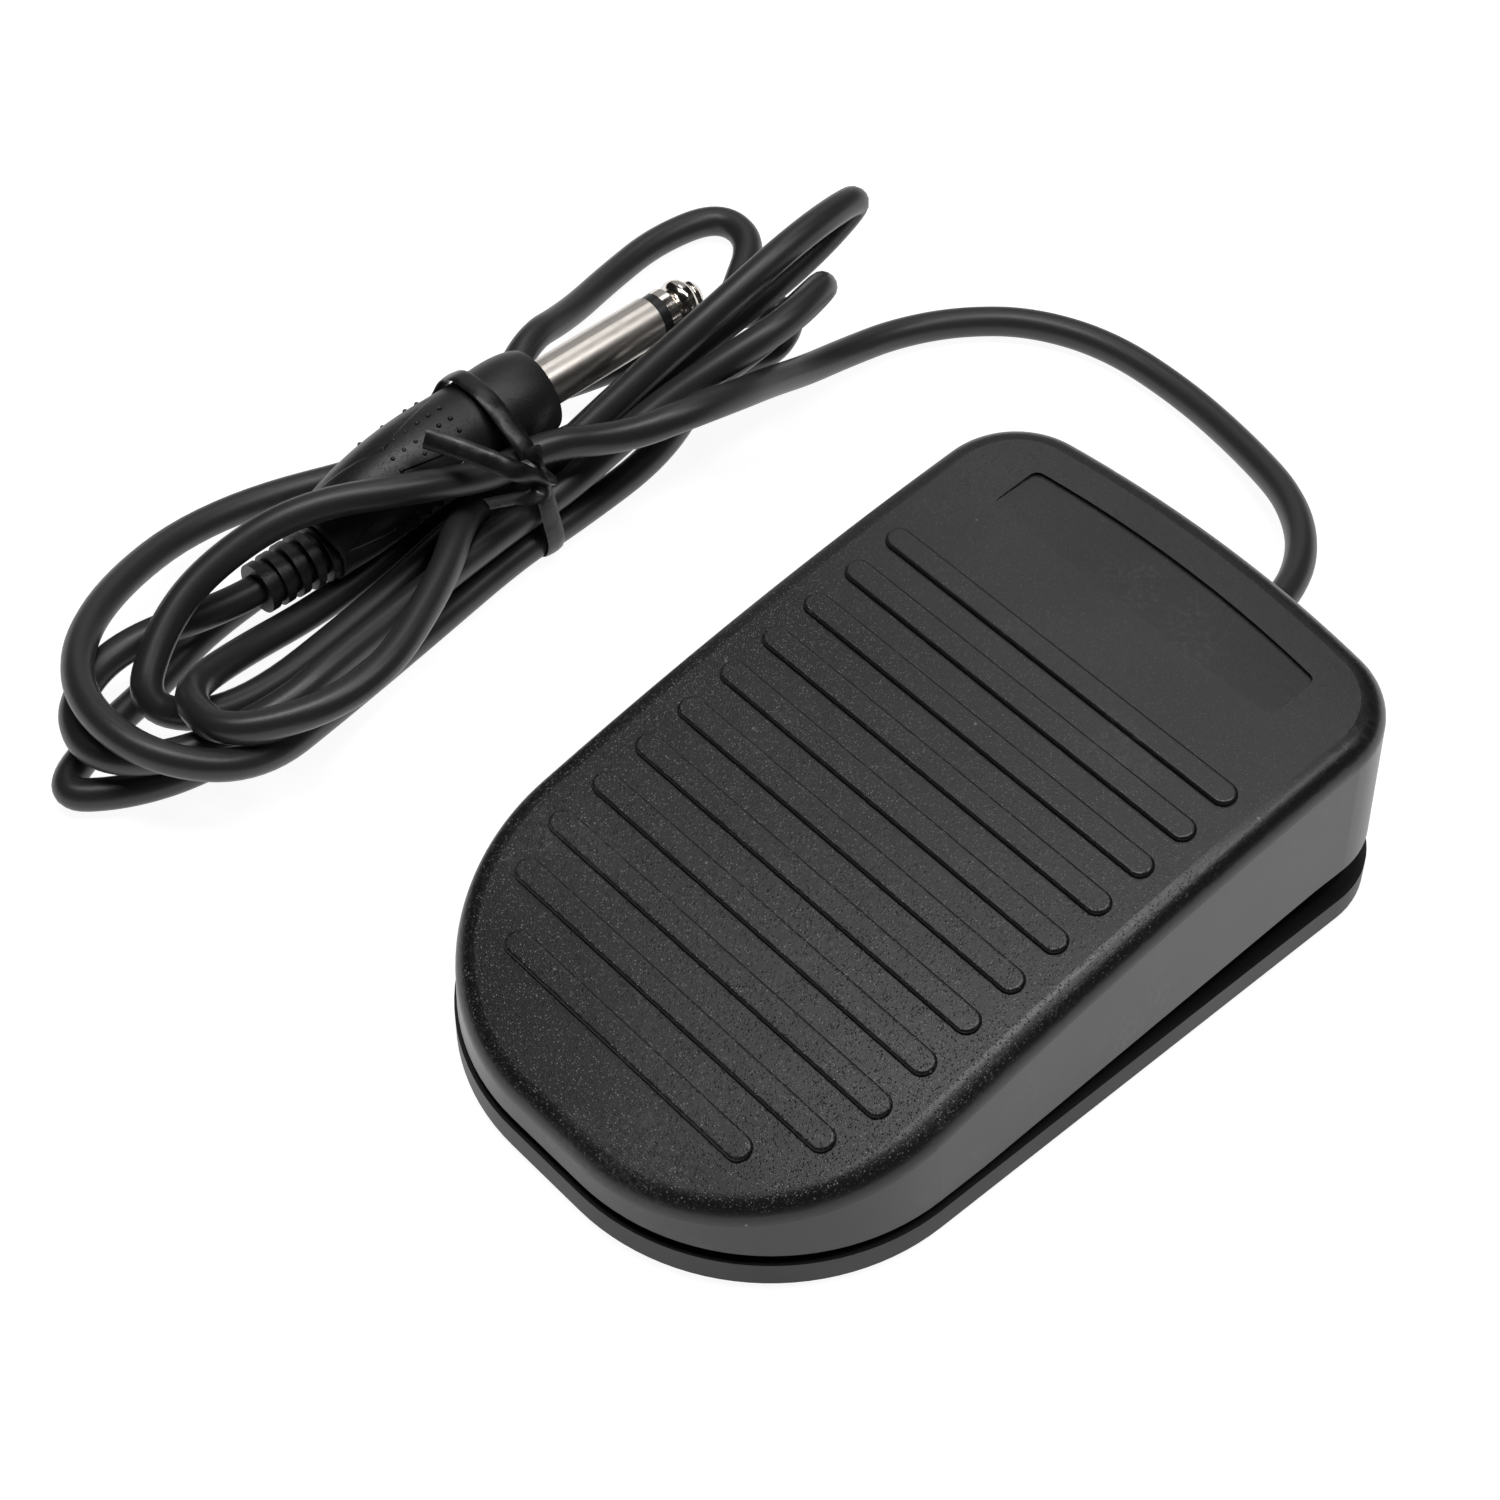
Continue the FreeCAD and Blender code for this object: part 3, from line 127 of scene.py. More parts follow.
def new_finish(name):
    """A new material: its node tree, its shader and the object's own coordinates."""
    material = bpy.data.materials.new(name)
    material.use_nodes = True
    tree = material.node_tree
    place = tree.nodes.new("ShaderNodeTexCoord").outputs["Object"]
    return material, tree, tree.nodes["Principled BSDF"], place


def add_node(tree, kind, inputs, **settings):
    """A node with its settings made. Each input takes a plain value or another node's output."""
    node = tree.nodes.new(kind)
    for name, value in settings.items():
        setattr(node, name, value)
    for name, value in inputs.items():
        if isinstance(value, bpy.types.NodeSocket):
            tree.links.new(value, node.inputs[name])
        else:
            node.inputs[name].default_value = value
    return node


def new_effect(name, takes, gives):
    """A shader node group: the group, the outputs of its input node and the inputs of its output node."""
    group = bpy.data.node_groups.new(name, "ShaderNodeTree")
    for way, sockets in (("INPUT", takes), ("OUTPUT", gives)):
        for title, kind in sockets.items():
            group.interface.new_socket(name=title, in_out=way, socket_type=kind)
    return group, group.nodes.new("NodeGroupInput").outputs, group.nodes.new("NodeGroupOutput").inputs


def noise_of(tree, vector, scale, **detail):
    """Cloudy noise at a scale, in waves to the metre."""
    return add_node(tree, "ShaderNodeTexNoise", {"Vector": vector, "Scale": scale, **detail}).outputs["Fac"]


def cells_of(tree, vector, scale):
    """Loose cells at a scale, in cells to the metre: the distance from each one's middle and its own lots."""
    cells = add_node(tree, "ShaderNodeTexVoronoi", {"Vector": vector, "Scale": scale}).outputs
    lots = add_node(tree, "ShaderNodeSeparateColor", {"Color": cells["Color"]}).outputs
    return cells["Distance"], lots


def band_of(tree, value, low, high, bottom=0.0, top=1.0):
    """The value as it rises from low to high, turned into a value from bottom to top."""
    return add_node(tree, "ShaderNodeMapRange", {
        "Value": value, "From Min": low, "From Max": high, "To Min": bottom, "To Max": top,
    }).outputs["Result"]


def math_of(tree, operation, *values, **settings):
    """One step of arithmetic on plain values or other nodes' outputs."""
    settings["operation"] = operation
    return add_node(tree, "ShaderNodeMath", dict(enumerate(values)), **settings).outputs[0]


def product(tree, one, other):
    """Two values multiplied."""
    return math_of(tree, "MULTIPLY", one, other)


def total(tree, one, other):
    """Two values added, kept under 1."""
    return math_of(tree, "ADD", one, other, use_clamp=True)


def blend_of(tree, share, first, second):
    """A colour between two colours."""
    colours = {"Factor": share, 6: first, 7: second}
    return add_node(tree, "ShaderNodeMix", colours, data_type="RGBA").outputs[2]


def relief(tree, shader, height, depth, strength):
    """Gives the shader's surface its relief: height from 0 to 1, times a depth in metres."""
    bump = add_node(tree, "ShaderNodeBump", {"Height": height, "Strength": strength, "Distance": depth})
    tree.links.new(bump.outputs["Normal"], shader.inputs["Normal"])


def dress(material, *names):
    """Gives CAD nodes their finish."""
    for name in names:
        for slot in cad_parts[name].material_slots:
            slot.material = material


# Moulding grain of the tool: small grains that stand apart on an uneven skin, and a few spots for glints,
# which the finishes paint into their colour as painted highlights. Each pair is where the grain or glint
# starts and where it is full, as a distance from the cell's middle or as the cell's lot.
grain_slope, grain_lots = (0.44, 0.1), (0.3, 0.7)
glint_slope, glint_lots = (0.42, 0.12), (0.62, 0.92)
skin_height, grain_height = 0.08, 0.85
moulding_grain, taken, given = new_effect(
    "moulding_grain", {"Vector": "NodeSocketVector", "Cells": "NodeSocketFloat"},
    {"Height": "NodeSocketFloat", "Glint": "NodeSocketFloat"},
)
grain_skin = noise_of(moulding_grain, taken["Vector"], taken["Cells"], Detail=3.0, Roughness=0.6)
from_middle, lots = cells_of(moulding_grain, taken["Vector"], taken["Cells"])
grain_tops = product(moulding_grain, band_of(moulding_grain, from_middle, *grain_slope),
                     band_of(moulding_grain, lots["Red"], *grain_lots))
painted_glint_mask = product(moulding_grain, band_of(moulding_grain, from_middle, *glint_slope),
                      band_of(moulding_grain, lots["Green"], *glint_lots))
moulding_grain.links.new(total(moulding_grain, product(moulding_grain, grain_skin, skin_height),
                               product(moulding_grain, grain_tops, grain_height)), given["Height"])
moulding_grain.links.new(painted_glint_mask, given["Glint"])

# Marks of use: soft scuffs, sparse specks of dust and slow patches of shine, with the ranges that each one's
# noise or cells are cut to
scuff_range, break_range = (0.55, 0.72), (0.42, 0.66)
speck_slope, speck_lots = (0.075, 0.035), (0.86, 0.9)
patch_range = (0.3, 0.7)
breaks_per_metre, specks_per_metre, patches_per_metre = 1400.0, 330.0, 45.0
use_marks, taken, given = new_effect(
    "use_marks", {"Vector": "NodeSocketVector", "Spread": "NodeSocketFloat"},
    {"Scuffs": "NodeSocketFloat", "Specks": "NodeSocketFloat", "Patches": "NodeSocketFloat"},
)
scuff_areas = noise_of(use_marks, taken["Vector"], taken["Spread"], Detail=5.0, Roughness=0.65)
scuff_breaks = noise_of(use_marks, taken["Vector"], breaks_per_metre, Detail=2.0)
scuffs = product(use_marks, band_of(use_marks, scuff_areas, *scuff_range),
                 band_of(use_marks, scuff_breaks, *break_range))
from_middle, lots = cells_of(use_marks, taken["Vector"], specks_per_metre)
specks = product(use_marks, band_of(use_marks, from_middle, *speck_slope),
                 band_of(use_marks, lots["Red"], *speck_lots))
use_marks.links.new(scuffs, given["Scuffs"])
use_marks.links.new(specks, given["Specks"])
use_marks.links.new(noise_of(use_marks, taken["Vector"], patches_per_metre, Detail=2.0), given["Patches"])


def grain_of(tree, place, cells):
    """The moulding grain with so many cells to the metre: its height and its glints."""
    at_scale = {"Vector": place, "Cells": cells}
    return add_node(tree, "ShaderNodeGroup", at_scale, node_tree=moulding_grain).outputs


def marks_of(tree, place, spread):
    """The marks of use, with so many scuffs to the metre."""
    at_scale = {"Vector": place, "Spread": spread}
    return add_node(tree, "ShaderNodeGroup", at_scale, node_tree=use_marks).outputs


def used_finish(name, clean, worn, spread, scuffs, specks, roughness, dulled=0.0):
    """A moulded finish that use has marked: its colour is worn, and its shine comes and goes."""
    material, tree, shader, place = new_finish(name)
    marks = marks_of(tree, place, spread)
    wear = total(tree, product(tree, marks["Scuffs"], scuffs), product(tree, marks["Specks"], specks))
    tree.links.new(blend_of(tree, wear, clean, worn), shader.inputs["Base Color"])
    shine = band_of(tree, marks["Patches"], *patch_range, *roughness)
    tree.links.new(total(tree, shine, product(tree, marks["Scuffs"], dulled)), shader.inputs["Roughness"])
    return material, tree, shader, place, marks


tray_plastic, tree, shader, place, marks = used_finish(
    "tray_plastic", tray_black, tray_rubbed, spread=110.0, scuffs=0.35, specks=0.8, roughness=(0.46, 0.58))
relief(tree, shader, grain_of(tree, place, cells=4200.0)["Height"], depth=0.00006, strength=0.35)
dress(tray_plastic, "base_tray")

# Rubber feet: four matt black pads, die-cut from sheet rubber and stuck into the underside. Floor dust
# clings to them.
foot_black = (0.014, 0.014, 0.014, 1)
foot_dust = (0.12, 0.115, 0.105, 1)
foot_rubber, tree, shader, place, marks = used_finish(
    "foot_rubber", foot_black, foot_dust, spread=260.0, scuffs=0.7, specks=1.0, roughness=(0.78, 0.95))
relief(tree, shader, grain_of(tree, place, cells=2600.0)["Height"], depth=0.00012, strength=0.5)
dress(foot_rubber, "rubber_feet")

# Hinge pin, its clips and every screw: zinc-plated steel, bright with a faint blue cast, turned or stamped,
# with fine tool lines and dull spots in the plating.
zinc_bright = (0.60, 0.61, 0.63, 1)
zinc_dull = (0.36, 0.36, 0.36, 1)

# Tool lines of turned, drawn or rolled metal, with finger smudges and dull spots over them
smudges_per_metre, spots_per_metre = 210.0, 900.0
smudge_range, spot_range = (0.42, 0.68), (0.60, 0.72)
tool_lines, taken, given = new_effect(
    "tool_lines", {"Vector": "NodeSocketVector", "Lines": "NodeSocketFloat"},
    {"Height": "NodeSocketFloat", "Smudges": "NodeSocketFloat", "Spots": "NodeSocketFloat"},
)
line_noise = noise_of(tool_lines, taken["Vector"], taken["Lines"], Detail=2.0, Roughness=0.7)
smudge_noise = noise_of(tool_lines, taken["Vector"], smudges_per_metre, Detail=4.0, Roughness=0.6)
spot_noise = noise_of(tool_lines, taken["Vector"], spots_per_metre, Detail=3.0)
tool_lines.links.new(line_noise, given["Height"])
tool_lines.links.new(band_of(tool_lines, smudge_noise, *smudge_range), given["Smudges"])
tool_lines.links.new(band_of(tool_lines, spot_noise, *spot_range), given["Spots"])


def metal_finish(name, bright, dull, roughness, stretch, lines):
    """A bare or plated metal: its tool lines run along the axes that the stretch leaves short."""
    spot_wear, smudge_wear = 0.5, 0.25
    material, tree, shader, place = new_finish(name)
    shader.inputs["Metallic"].default_value = 1.0
    stretched = add_node(tree, "ShaderNodeMapping", {"Vector": place, "Scale": stretch}).outputs["Vector"]
    at_scale = {"Vector": stretched, "Lines": lines}
    worked = add_node(tree, "ShaderNodeGroup", at_scale, node_tree=tool_lines).outputs
    wear = total(tree, product(tree, worked["Spots"], spot_wear),
                 product(tree, worked["Smudges"], smudge_wear))
    tree.links.new(blend_of(tree, wear, bright, dull), shader.inputs["Base Color"])
    tree.links.new(band_of(tree, worked["Smudges"], 0.0, 1.0, *roughness), shader.inputs["Roughness"])
    relief(tree, shader, worked["Height"], depth=0.00001, strength=0.3)
    return material


zinc_steel = metal_finish(
    "steel", zinc_bright, zinc_dull, roughness=(0.24, 0.40), stretch=(0.15, 1.0, 1.0), lines=5000.0)
dress(zinc_steel, "hinge_pin", "hinge_clips", "switch_screws", "clamp_screws")

# Return spring: hard-drawn steel wire, coiled by machine and left bare, so it is darker than the screws and
# carries a film of oil.
spring_bright = (0.42, 0.42, 0.43, 1)
spring_oiled = (0.14, 0.13, 0.11, 1)
spring_steel = metal_finish(
    "spring_steel", spring_bright, spring_oiled,
    roughness=(0.26, 0.44), stretch=(1.0, 1.0, 0.4), lines=3600.0)
dress(spring_steel, "return_spring")

# Microswitch: a two-part black phenolic case with a red plunger and a spring blade on top and three tinned
# blades below. Two screws hold it to the bracket.
case_black = (0.030, 0.029, 0.028, 1)
case_pale = (0.085, 0.08, 0.075, 1)
case_range, case_roughness = (0.3, 0.7), (0.42, 0.58)
# Shares of the scuffs and of the painted glints, highlights painted into the case's colour
case_scuffs, case_painted_glint = 0.4, 0.15
plunger_red = (0.42, 0.03, 0.022, 1)
plunger_worn = (0.50, 0.10, 0.08, 1)
tinned_brass = (0.66, 0.58, 0.40, 1)
tarnished_brass = (0.30, 0.22, 0.10, 1)
blade_bright = (0.55, 0.55, 0.56, 1)
blade_dull = (0.30, 0.30, 0.30, 1)

switch_plastic, tree, shader, place = new_finish("switch_plastic")
grain = grain_of(tree, place, cells=5200.0)
marks = marks_of(tree, place, spread=420.0)
# Painted highlight: the grain's glints and the real scuffs lighten the case towards its pale grey.
wear_and_glint_on_case = total(tree, product(tree, marks["Scuffs"], case_scuffs),
                  product(tree, grain["Glint"], case_painted_glint))
tree.links.new(blend_of(tree, wear_and_glint_on_case, case_black, case_pale), shader.inputs["Base Color"])
tree.links.new(band_of(tree, grain["Height"], *case_range, *case_roughness), shader.inputs["Roughness"])
relief(tree, shader, grain["Height"], depth=0.00005, strength=0.35)
dress(switch_plastic, "switch_case", "switch_case_lid")


def smooth_finish(name, clean, worn, spread, scuffs, roughness):
    """A smooth moulding, with its scuffs as its only relief."""
    material, tree, shader, place, marks = used_finish(
        name, clean, worn, spread=spread, scuffs=scuffs, specks=0.0, roughness=roughness)
    relief(tree, shader, marks["Scuffs"], depth=0.00002, strength=0.3)
    return material


plunger_plastic = smooth_finish(
    "plunger_plastic", plunger_red, plunger_worn, spread=700.0, scuffs=1.0, roughness=(0.22, 0.34))
dress(plunger_plastic, "switch_plunger")
blade_steel = metal_finish(
    "switch_blade", blade_bright, blade_dull, roughness=(0.2, 0.34), stretch=(1.0, 0.1, 1.0), lines=5200.0)
dress(blade_steel, "switch_lever")
terminal_brass = metal_finish(
    "terminal_brass", tinned_brass, tarnished_brass,
    roughness=(0.24, 0.42), stretch=(1.0, 1.0, 0.15), lines=4200.0)
dress(terminal_brass, "switch_terminals")

# Bush, inner cable and clamp: the cord's jacket passes a soft rubber bush in the rear wall and is held down
# by a bar with two screws. The bush is matt, and the jacket is a satin PVC that scuffs leave duller.
bush_black = (0.012, 0.012, 0.012, 1)
bush_bloom = (0.045, 0.044, 0.042, 1)
sheath_black = (0.031, 0.031, 0.0315, 1)
sheath_rubbed = (0.05, 0.05, 0.05, 1)

bush_rubber, tree, shader, place, marks = used_finish(
    "bush_rubber", bush_black, bush_bloom, spread=300.0, scuffs=1.0, specks=0.0, roughness=(0.6, 0.75))
relief(tree, shader, grain_of(tree, place, cells=3800.0)["Height"], depth=0.00005, strength=0.35)
dress(bush_rubber, "cable_bush")

sheath_pvc, tree, shader, place, marks = used_finish(
    "sheath_pvc", sheath_black, sheath_rubbed,
    spread=95.0, scuffs=0.30, specks=0.9, roughness=(0.34, 0.44), dulled=0.12)
relief(tree, shader, grain_of(tree, place, cells=3000.0)["Height"], depth=0.00003, strength=0.22)
dress(sheath_pvc, "inner_cable")
dress(tray_plastic, "cable_clamp")

# Core wires: a red signal wire and a white ground wire, thin PVC over stranded copper, soldered to two of
# the switch's blades and soiled by handling at the bench.
signal_red = (0.36, 0.015, 0.012, 1)
ground_white = (0.66, 0.66, 0.63, 1)
wire_soiled = (0.10, 0.09, 0.08, 1)
for wire_node, finish_name, wire_colour in (
    ("signal_wire", "signal_wire_red", signal_red), ("ground_wire", "ground_wire_white", ground_white),
):
    wire_pvc = smooth_finish(
        finish_name, wire_colour, wire_soiled, spread=380.0, scuffs=0.4, roughness=(0.3, 0.42))
    dress(wire_pvc, wire_node)

# Pedal cover: the ribbed black ABS shell that the foot presses. Its top has a coarse grain that runs over the
# rolled edge and fades towards the rear, and painted glints: bright specks painted into its colour as
# highlights on the up-facing top, fewer towards the rear. Its walls are satin, and the label's recess is
# bare.
cover_black = (0.0105, 0.0105, 0.011, 1)
# The grey that the painted glints, the dust specks and the scuffs blend the black towards
cover_wear_and_glint_grey = (0.34, 0.34, 0.345, 1)
cover_roughness = (0.30, 0.37)
tread_tilt = (0.50, 0.84)
tread_fade_y, tread_at_rear = (0.034, -0.020), 0.15
# Shares of the coarse and fine grains' painted glints (highlights painted into the colour), of dust specks
# and of scuffs
coarse_painted_glint, fine_painted_glint, speck_glint, scuff_glint = 0.8, 0.5, 0.5, 0.12
wall_grain = 0.22

cover_plastic, tree, shader, place = new_finish("cover_plastic")
coarse = grain_of(tree, place, cells=3600.0)
fine = grain_of(tree, place, cells=5200.0)
marks = marks_of(tree, place, spread=60.0)
surface_normal = tree.nodes.new("ShaderNodeNewGeometry").outputs["Normal"]
facing_up = add_node(tree, "ShaderNodeSeparateXYZ", {"Vector": surface_normal}).outputs["Z"]
along = add_node(tree, "ShaderNodeSeparateXYZ", {"Vector": place}).outputs["Y"]
# The tread: the up-facing top, fading towards the rear. It carries the coarse grain's relief and the painted
# glints.
tread = product(tree, band_of(tree, facing_up, *tread_tilt),
                band_of(tree, along, *tread_fade_y, tread_at_rear, 1.0))
# Painted highlight: both grains' glints are painted into the base colour on the tread; dust specks and scuffs
# are real marks.
both_painted_glints = total(tree, product(tree, coarse["Glint"], coarse_painted_glint),
                    product(tree, fine["Glint"], fine_painted_glint))
painted_glints_and_dust = total(tree, product(tree, both_painted_glints, tread), product(tree, marks["Specks"], speck_glint))
painted_glints_dust_and_scuffs = total(tree, painted_glints_and_dust, product(tree, marks["Scuffs"], scuff_glint))
tree.links.new(blend_of(tree, painted_glints_dust_and_scuffs, cover_black, cover_wear_and_glint_grey), shader.inputs["Base Color"])
tree.links.new(band_of(tree, marks["Patches"], *patch_range, *cover_roughness), shader.inputs["Roughness"])
cover_height = total(tree, product(tree, coarse["Height"], tread), product(tree, fine["Height"], wall_grain))
relief(tree, shader, cover_height, depth=0.00006, strength=0.9)
dress(cover_plastic, "pedal_cover")

# Stop screws and their washers: two shouldered screws driven up into the cover, each with a red fibre
# washer that lands on the tray's ledge and keeps the cover from lifting off.
fibre_red = (0.20, 0.045, 0.025, 1)
fibre_pale = (0.34, 0.13, 0.08, 1)
fibre_stretch = (1.0, 0.12, 1.0)
fibre_range, fibre_roughness = (0.4, 0.65), (0.7, 0.9)
fibres_per_metre = 2600.0
washer_fibre, tree, shader, place = new_finish("washer_fibre")
pressed = add_node(tree, "ShaderNodeMapping", {"Vector": place, "Scale": fibre_stretch}).outputs["Vector"]
fibres = noise_of(tree, pressed, fibres_per_metre, Detail=4.0)
fibre_share = band_of(tree, fibres, *fibre_range)
tree.links.new(blend_of(tree, fibre_share, fibre_red, fibre_pale), shader.inputs["Base Color"])
tree.links.new(band_of(tree, fibres, *fibre_range, *fibre_roughness), shader.inputs["Roughness"])
relief(tree, shader, fibres, depth=0.00008, strength=0.5)
dress(washer_fibre, "stop_washers")
dress(zinc_steel, "stop_screws")

# Plug handle: black PVC moulded over the plug's back, satin and slightly soft. It has rows of small dots
# on each of its four sides with a shallow pointed hollow between them, and ends in a slotted strain relief.
# Sizes are in millimetres, and a section is its place along the handle, its middle's height and its radius.
MM = 0.001
handle_x = -84.4
handle_sections = [
    (17.2, 13.6, 5.6), (16.2, 13.6, 5.95), (8.0, 13.5, 6.1), (0.0, 13.2, 6.2), (-6.0, 12.4, 6.1),
    (-11.0, 11.1, 5.8), (-14.6, 9.8, 5.2), (-16.5, 8.4, 4.3),
]
handle_black = (0.015, 0.015, 0.0155, 1)
handle_rubbed = (0.05, 0.05, 0.05, 1)
face_angles = (75, -15, -105, 165)
half_face_angle = 45
hollow_angle = 30
hollow_spread = 31
hollow_middle_y = -6.0
hollow_half_length = 10.3
hollow_depth = 0.3
hollow_rim = (0.93, 1.0)
skin_level, skin_grain = 0.8, 0.1
axis_drop_y, axis_drop_z = (-16.5, 0.0), (8.4, 13.3)
dot_radius = 0.36
dot_base = 0.1
dot_sunk = 0.05
dot_start_y = 2.9
dot_pitch = 1.8
dot_rows = {18: (0, 1, 2, 3, 4, 5, 6, 7), -1: (0, 1, 3, 4, 5), -18: (0, 1, 3, 5)}
dot_smooth_angle = 50


def handle_ring(y):
    """The height of the handle's middle and its radius at a place along it."""
    for (y0, z0, r0), (y1, z1, r1) in zip(handle_sections, handle_sections[1:]):
        if y0 >= y >= y1:
            share = (y0 - y) / (y0 - y1)
            return z0 + (z1 - z0) * share, r0 + (r1 - r0) * share


def in_handle(y, angle, sunk):
    """A point sunk a little into the handle's skin and the direction outwards from it."""
    z, radius = handle_ring(y)
    out = Vector((math.cos(math.radians(angle)), 0, math.sin(math.radians(angle))))
    return Vector((handle_x, y, z)) + out * (radius - sunk), out


def fresh():
    """Leaves nothing selected, so that the next tool acts on the new piece alone."""
    bpy.ops.object.select_all(action="DESELECT")


def joined(pieces, name):
    """Joins pieces into one, named, with its place in its mesh."""
    fresh()
    for piece in pieces:
        piece.select_set(True)
    bpy.context.view_layer.objects.active = pieces[0]
    bpy.ops.object.transform_apply(location=True, rotation=True, scale=True)
    bpy.ops.object.join()
    whole = bpy.context.object
    whole.name = name
    return whole


fresh()
bpy.ops.mesh.primitive_uv_sphere_add(segments=12, ring_count=8, radius=dot_radius * MM, location=(0, 0, 0))
dot = bpy.context.object
bpy.ops.object.mode_set(mode="EDIT")
bpy.ops.mesh.select_all(action="SELECT")
bpy.ops.mesh.bisect(
    plane_co=(0, 0, -dot_base * dot_radius * MM), plane_no=(0, 0, 1), clear_inner=True, use_fill=True)
bpy.ops.object.mode_set(mode="OBJECT")
bpy.ops.object.shade_smooth_by_angle(angle=math.radians(dot_smooth_angle))
dots = []
for face_angle in face_angles:
    for row_angle, steps in dot_rows.items():
        for step in steps:
            copy = dot.copy()
            copy.data = dot.data.copy()
            bpy.context.collection.objects.link(copy)
            spot, out = in_handle(dot_start_y - dot_pitch * step, face_angle + row_angle, dot_sunk)
            outwards = out.to_track_quat("Z", "Y").to_matrix().to_4x4()
            copy.matrix_world = Matrix.Translation(spot * MM) @ outwards
            dots.append(copy)
bpy.data.objects.remove(dot)
handle_dots = joined(dots, "handle_dots")

plug_plastic, tree, shader, place, marks = used_finish(
    "plug_plastic", handle_black, handle_rubbed,
    spread=160.0, scuffs=0.30, specks=0.8, roughness=(0.36, 0.46))
spots = add_node(tree, "ShaderNodeSeparateXYZ", {"Vector": place}).outputs
sideways = math_of(tree, "ADD", spots["X"], -handle_x * MM)
axis_height = band_of(tree, spots["Y"], *(y * MM for y in axis_drop_y), *(z * MM for z in axis_drop_z))
upwards = math_of(tree, "SUBTRACT", spots["Z"], axis_height)
around = math_of(tree, "ARCTAN2", upwards, sideways)
from_hollow = math_of(tree, "WRAP", math_of(tree, "ADD", around, math.radians(-hollow_angle)),
                     math.radians(half_face_angle), math.radians(-half_face_angle))
off_angle = math_of(tree, "ABSOLUTE", from_hollow)
off_length = math_of(tree, "ABSOLUTE", math_of(tree, "ADD", spots["Y"], -hollow_middle_y * MM))
hollow_reach = math_of(tree, "ADD", product(tree, off_angle, 1 / math.radians(hollow_spread)),
                      product(tree, off_length, 1 / (hollow_half_length * MM)))
handle_skin = product(tree, grain_of(tree, place, cells=4200.0)["Height"], skin_grain)
handle_height = total(tree, band_of(tree, hollow_reach, *hollow_rim, 0.0, skin_level), handle_skin)
relief(tree, shader, handle_height, depth=hollow_depth * MM, strength=0.9)
dress(plug_plastic, "plug_handle", "plug_relief")
handle_dots.data.materials.append(plug_plastic)
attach(handle_dots, "base")

# Plug: a turned brass sleeve and tip, nickel plated and bright, with faint turning marks and thumb prints,
# parted by one black insulating ring. The tip is smoother than the sleeve.
nickel_bright = (0.74, 0.69, 0.64, 1)
nickel_dull = (0.58, 0.54, 0.50, 1)
turning_stretch, turning_lines = (0.15, 1.0, 0.15), 2400.0
ring_black = (0.012, 0.012, 0.012, 1)
ring_worn = (0.04, 0.04, 0.04, 1)
for plug_node, finish_name, nickel_roughness in (
    ("plug_sleeve", "plug_nickel", (0.29, 0.38)), ("plug_tip", "plug_nickel_tip", (0.14, 0.24)),
):
    nickel = metal_finish(finish_name, nickel_bright, nickel_dull, roughness=nickel_roughness,
                          stretch=turning_stretch, lines=turning_lines)
    dress(nickel, plug_node)
insulator_black = smooth_finish(
    "insulator_black", ring_black, ring_worn, spread=500.0, scuffs=1.0, roughness=(0.25, 0.4))
dress(insulator_black, "plug_insulator")

# Twist tie: a flat black plastic film with a wire core in its middle, wound once round the waist, twisted
# on itself by hand and left with two ends: a long one, and a short one cut to a point.
tie_profile = [
    (-1.15, -0.12), (-1.3, 0.0), (-1.1, 0.2), (-0.6, 0.36), (0.0, 0.42), (0.6, 0.36),
    (1.1, 0.2), (1.3, 0.0), (1.15, -0.12), (0.6, -0.2), (0.0, -0.24), (-0.6, -0.2),
]
band_y = 8.0
band_points = [
    (-84.4, 20.35), (-88.2, 19.4), (-91.7, 14.2), (-95.4, 5.2), (-96.4, 2.4), (-94.2, 0.86), (-91.5, 0.67),
    (-84, 0.65), (-75, 0.67), (-72, 0.82), (-69.7, 2.9), (-70.3, 8), (-72.9, 14.4), (-75.0, 16.9),
    (-78.2, 18.6), (-81.2, 20.0),
]
long_end = [
    (-74.2, 8.4, 16.6, 10), (-71.2, 7.8, 16.6, 100), (-69.2, 6.8, 15.9, 180), (-69.2, 5.2, 17.4, 250),
    (-70.3, 2.6, 19.9, 320), (-73.6, 0.2, 21.4, 325), (-76.9, -1.9, 22.2, 320), (-79.4, -3.4, 22.5, 315),
]
short_end = [
    (-73.6, 7.2, 16.0, 170), (-71.0, 7.0, 15.4, 230), (-69.1, 6.4, 16.2, 290), (-68.5, 4.6, 15.6, 350),
    (-69.2, 1.6, 16.4, 372), (-70.2, -1.9, 17.1, 375),
]
tie_smooth_angle = 40
film_black = (0.012, 0.012, 0.012, 1)
film_creased = (0.05, 0.05, 0.05, 1)
film_scuffs = 0.5
crease_range, film_roughness = (0.3, 0.7), (0.24, 0.42)
creases_per_metre = 520.0


def bend_curve(name, points, closed, flat):
    """A curve that passes smoothly through points in millimetres; the fourth number is its turn."""
    fresh()
    bpy.ops.curve.primitive_bezier_curve_add(location=(0, 0, 0))
    piece = bpy.context.object
    piece.name = name
    line = piece.data
    line.dimensions = "2D" if flat else "3D"
    line.twist_mode = "Z_UP"
    line.resolution_u = 8
    line.splines.clear()
    spline = line.splines.new("BEZIER")
    spline.bezier_points.add(len(points) - 1)
    for knot, place in zip(spline.bezier_points, points):
        knot.co = Vector(place[:3]).to_3d() * MM
        knot.handle_left_type = "AUTO"
        knot.handle_right_type = "AUTO"
        if len(place) > 3:
            knot.tilt = math.radians(place[3])
    spline.use_cyclic_u = closed
    return piece


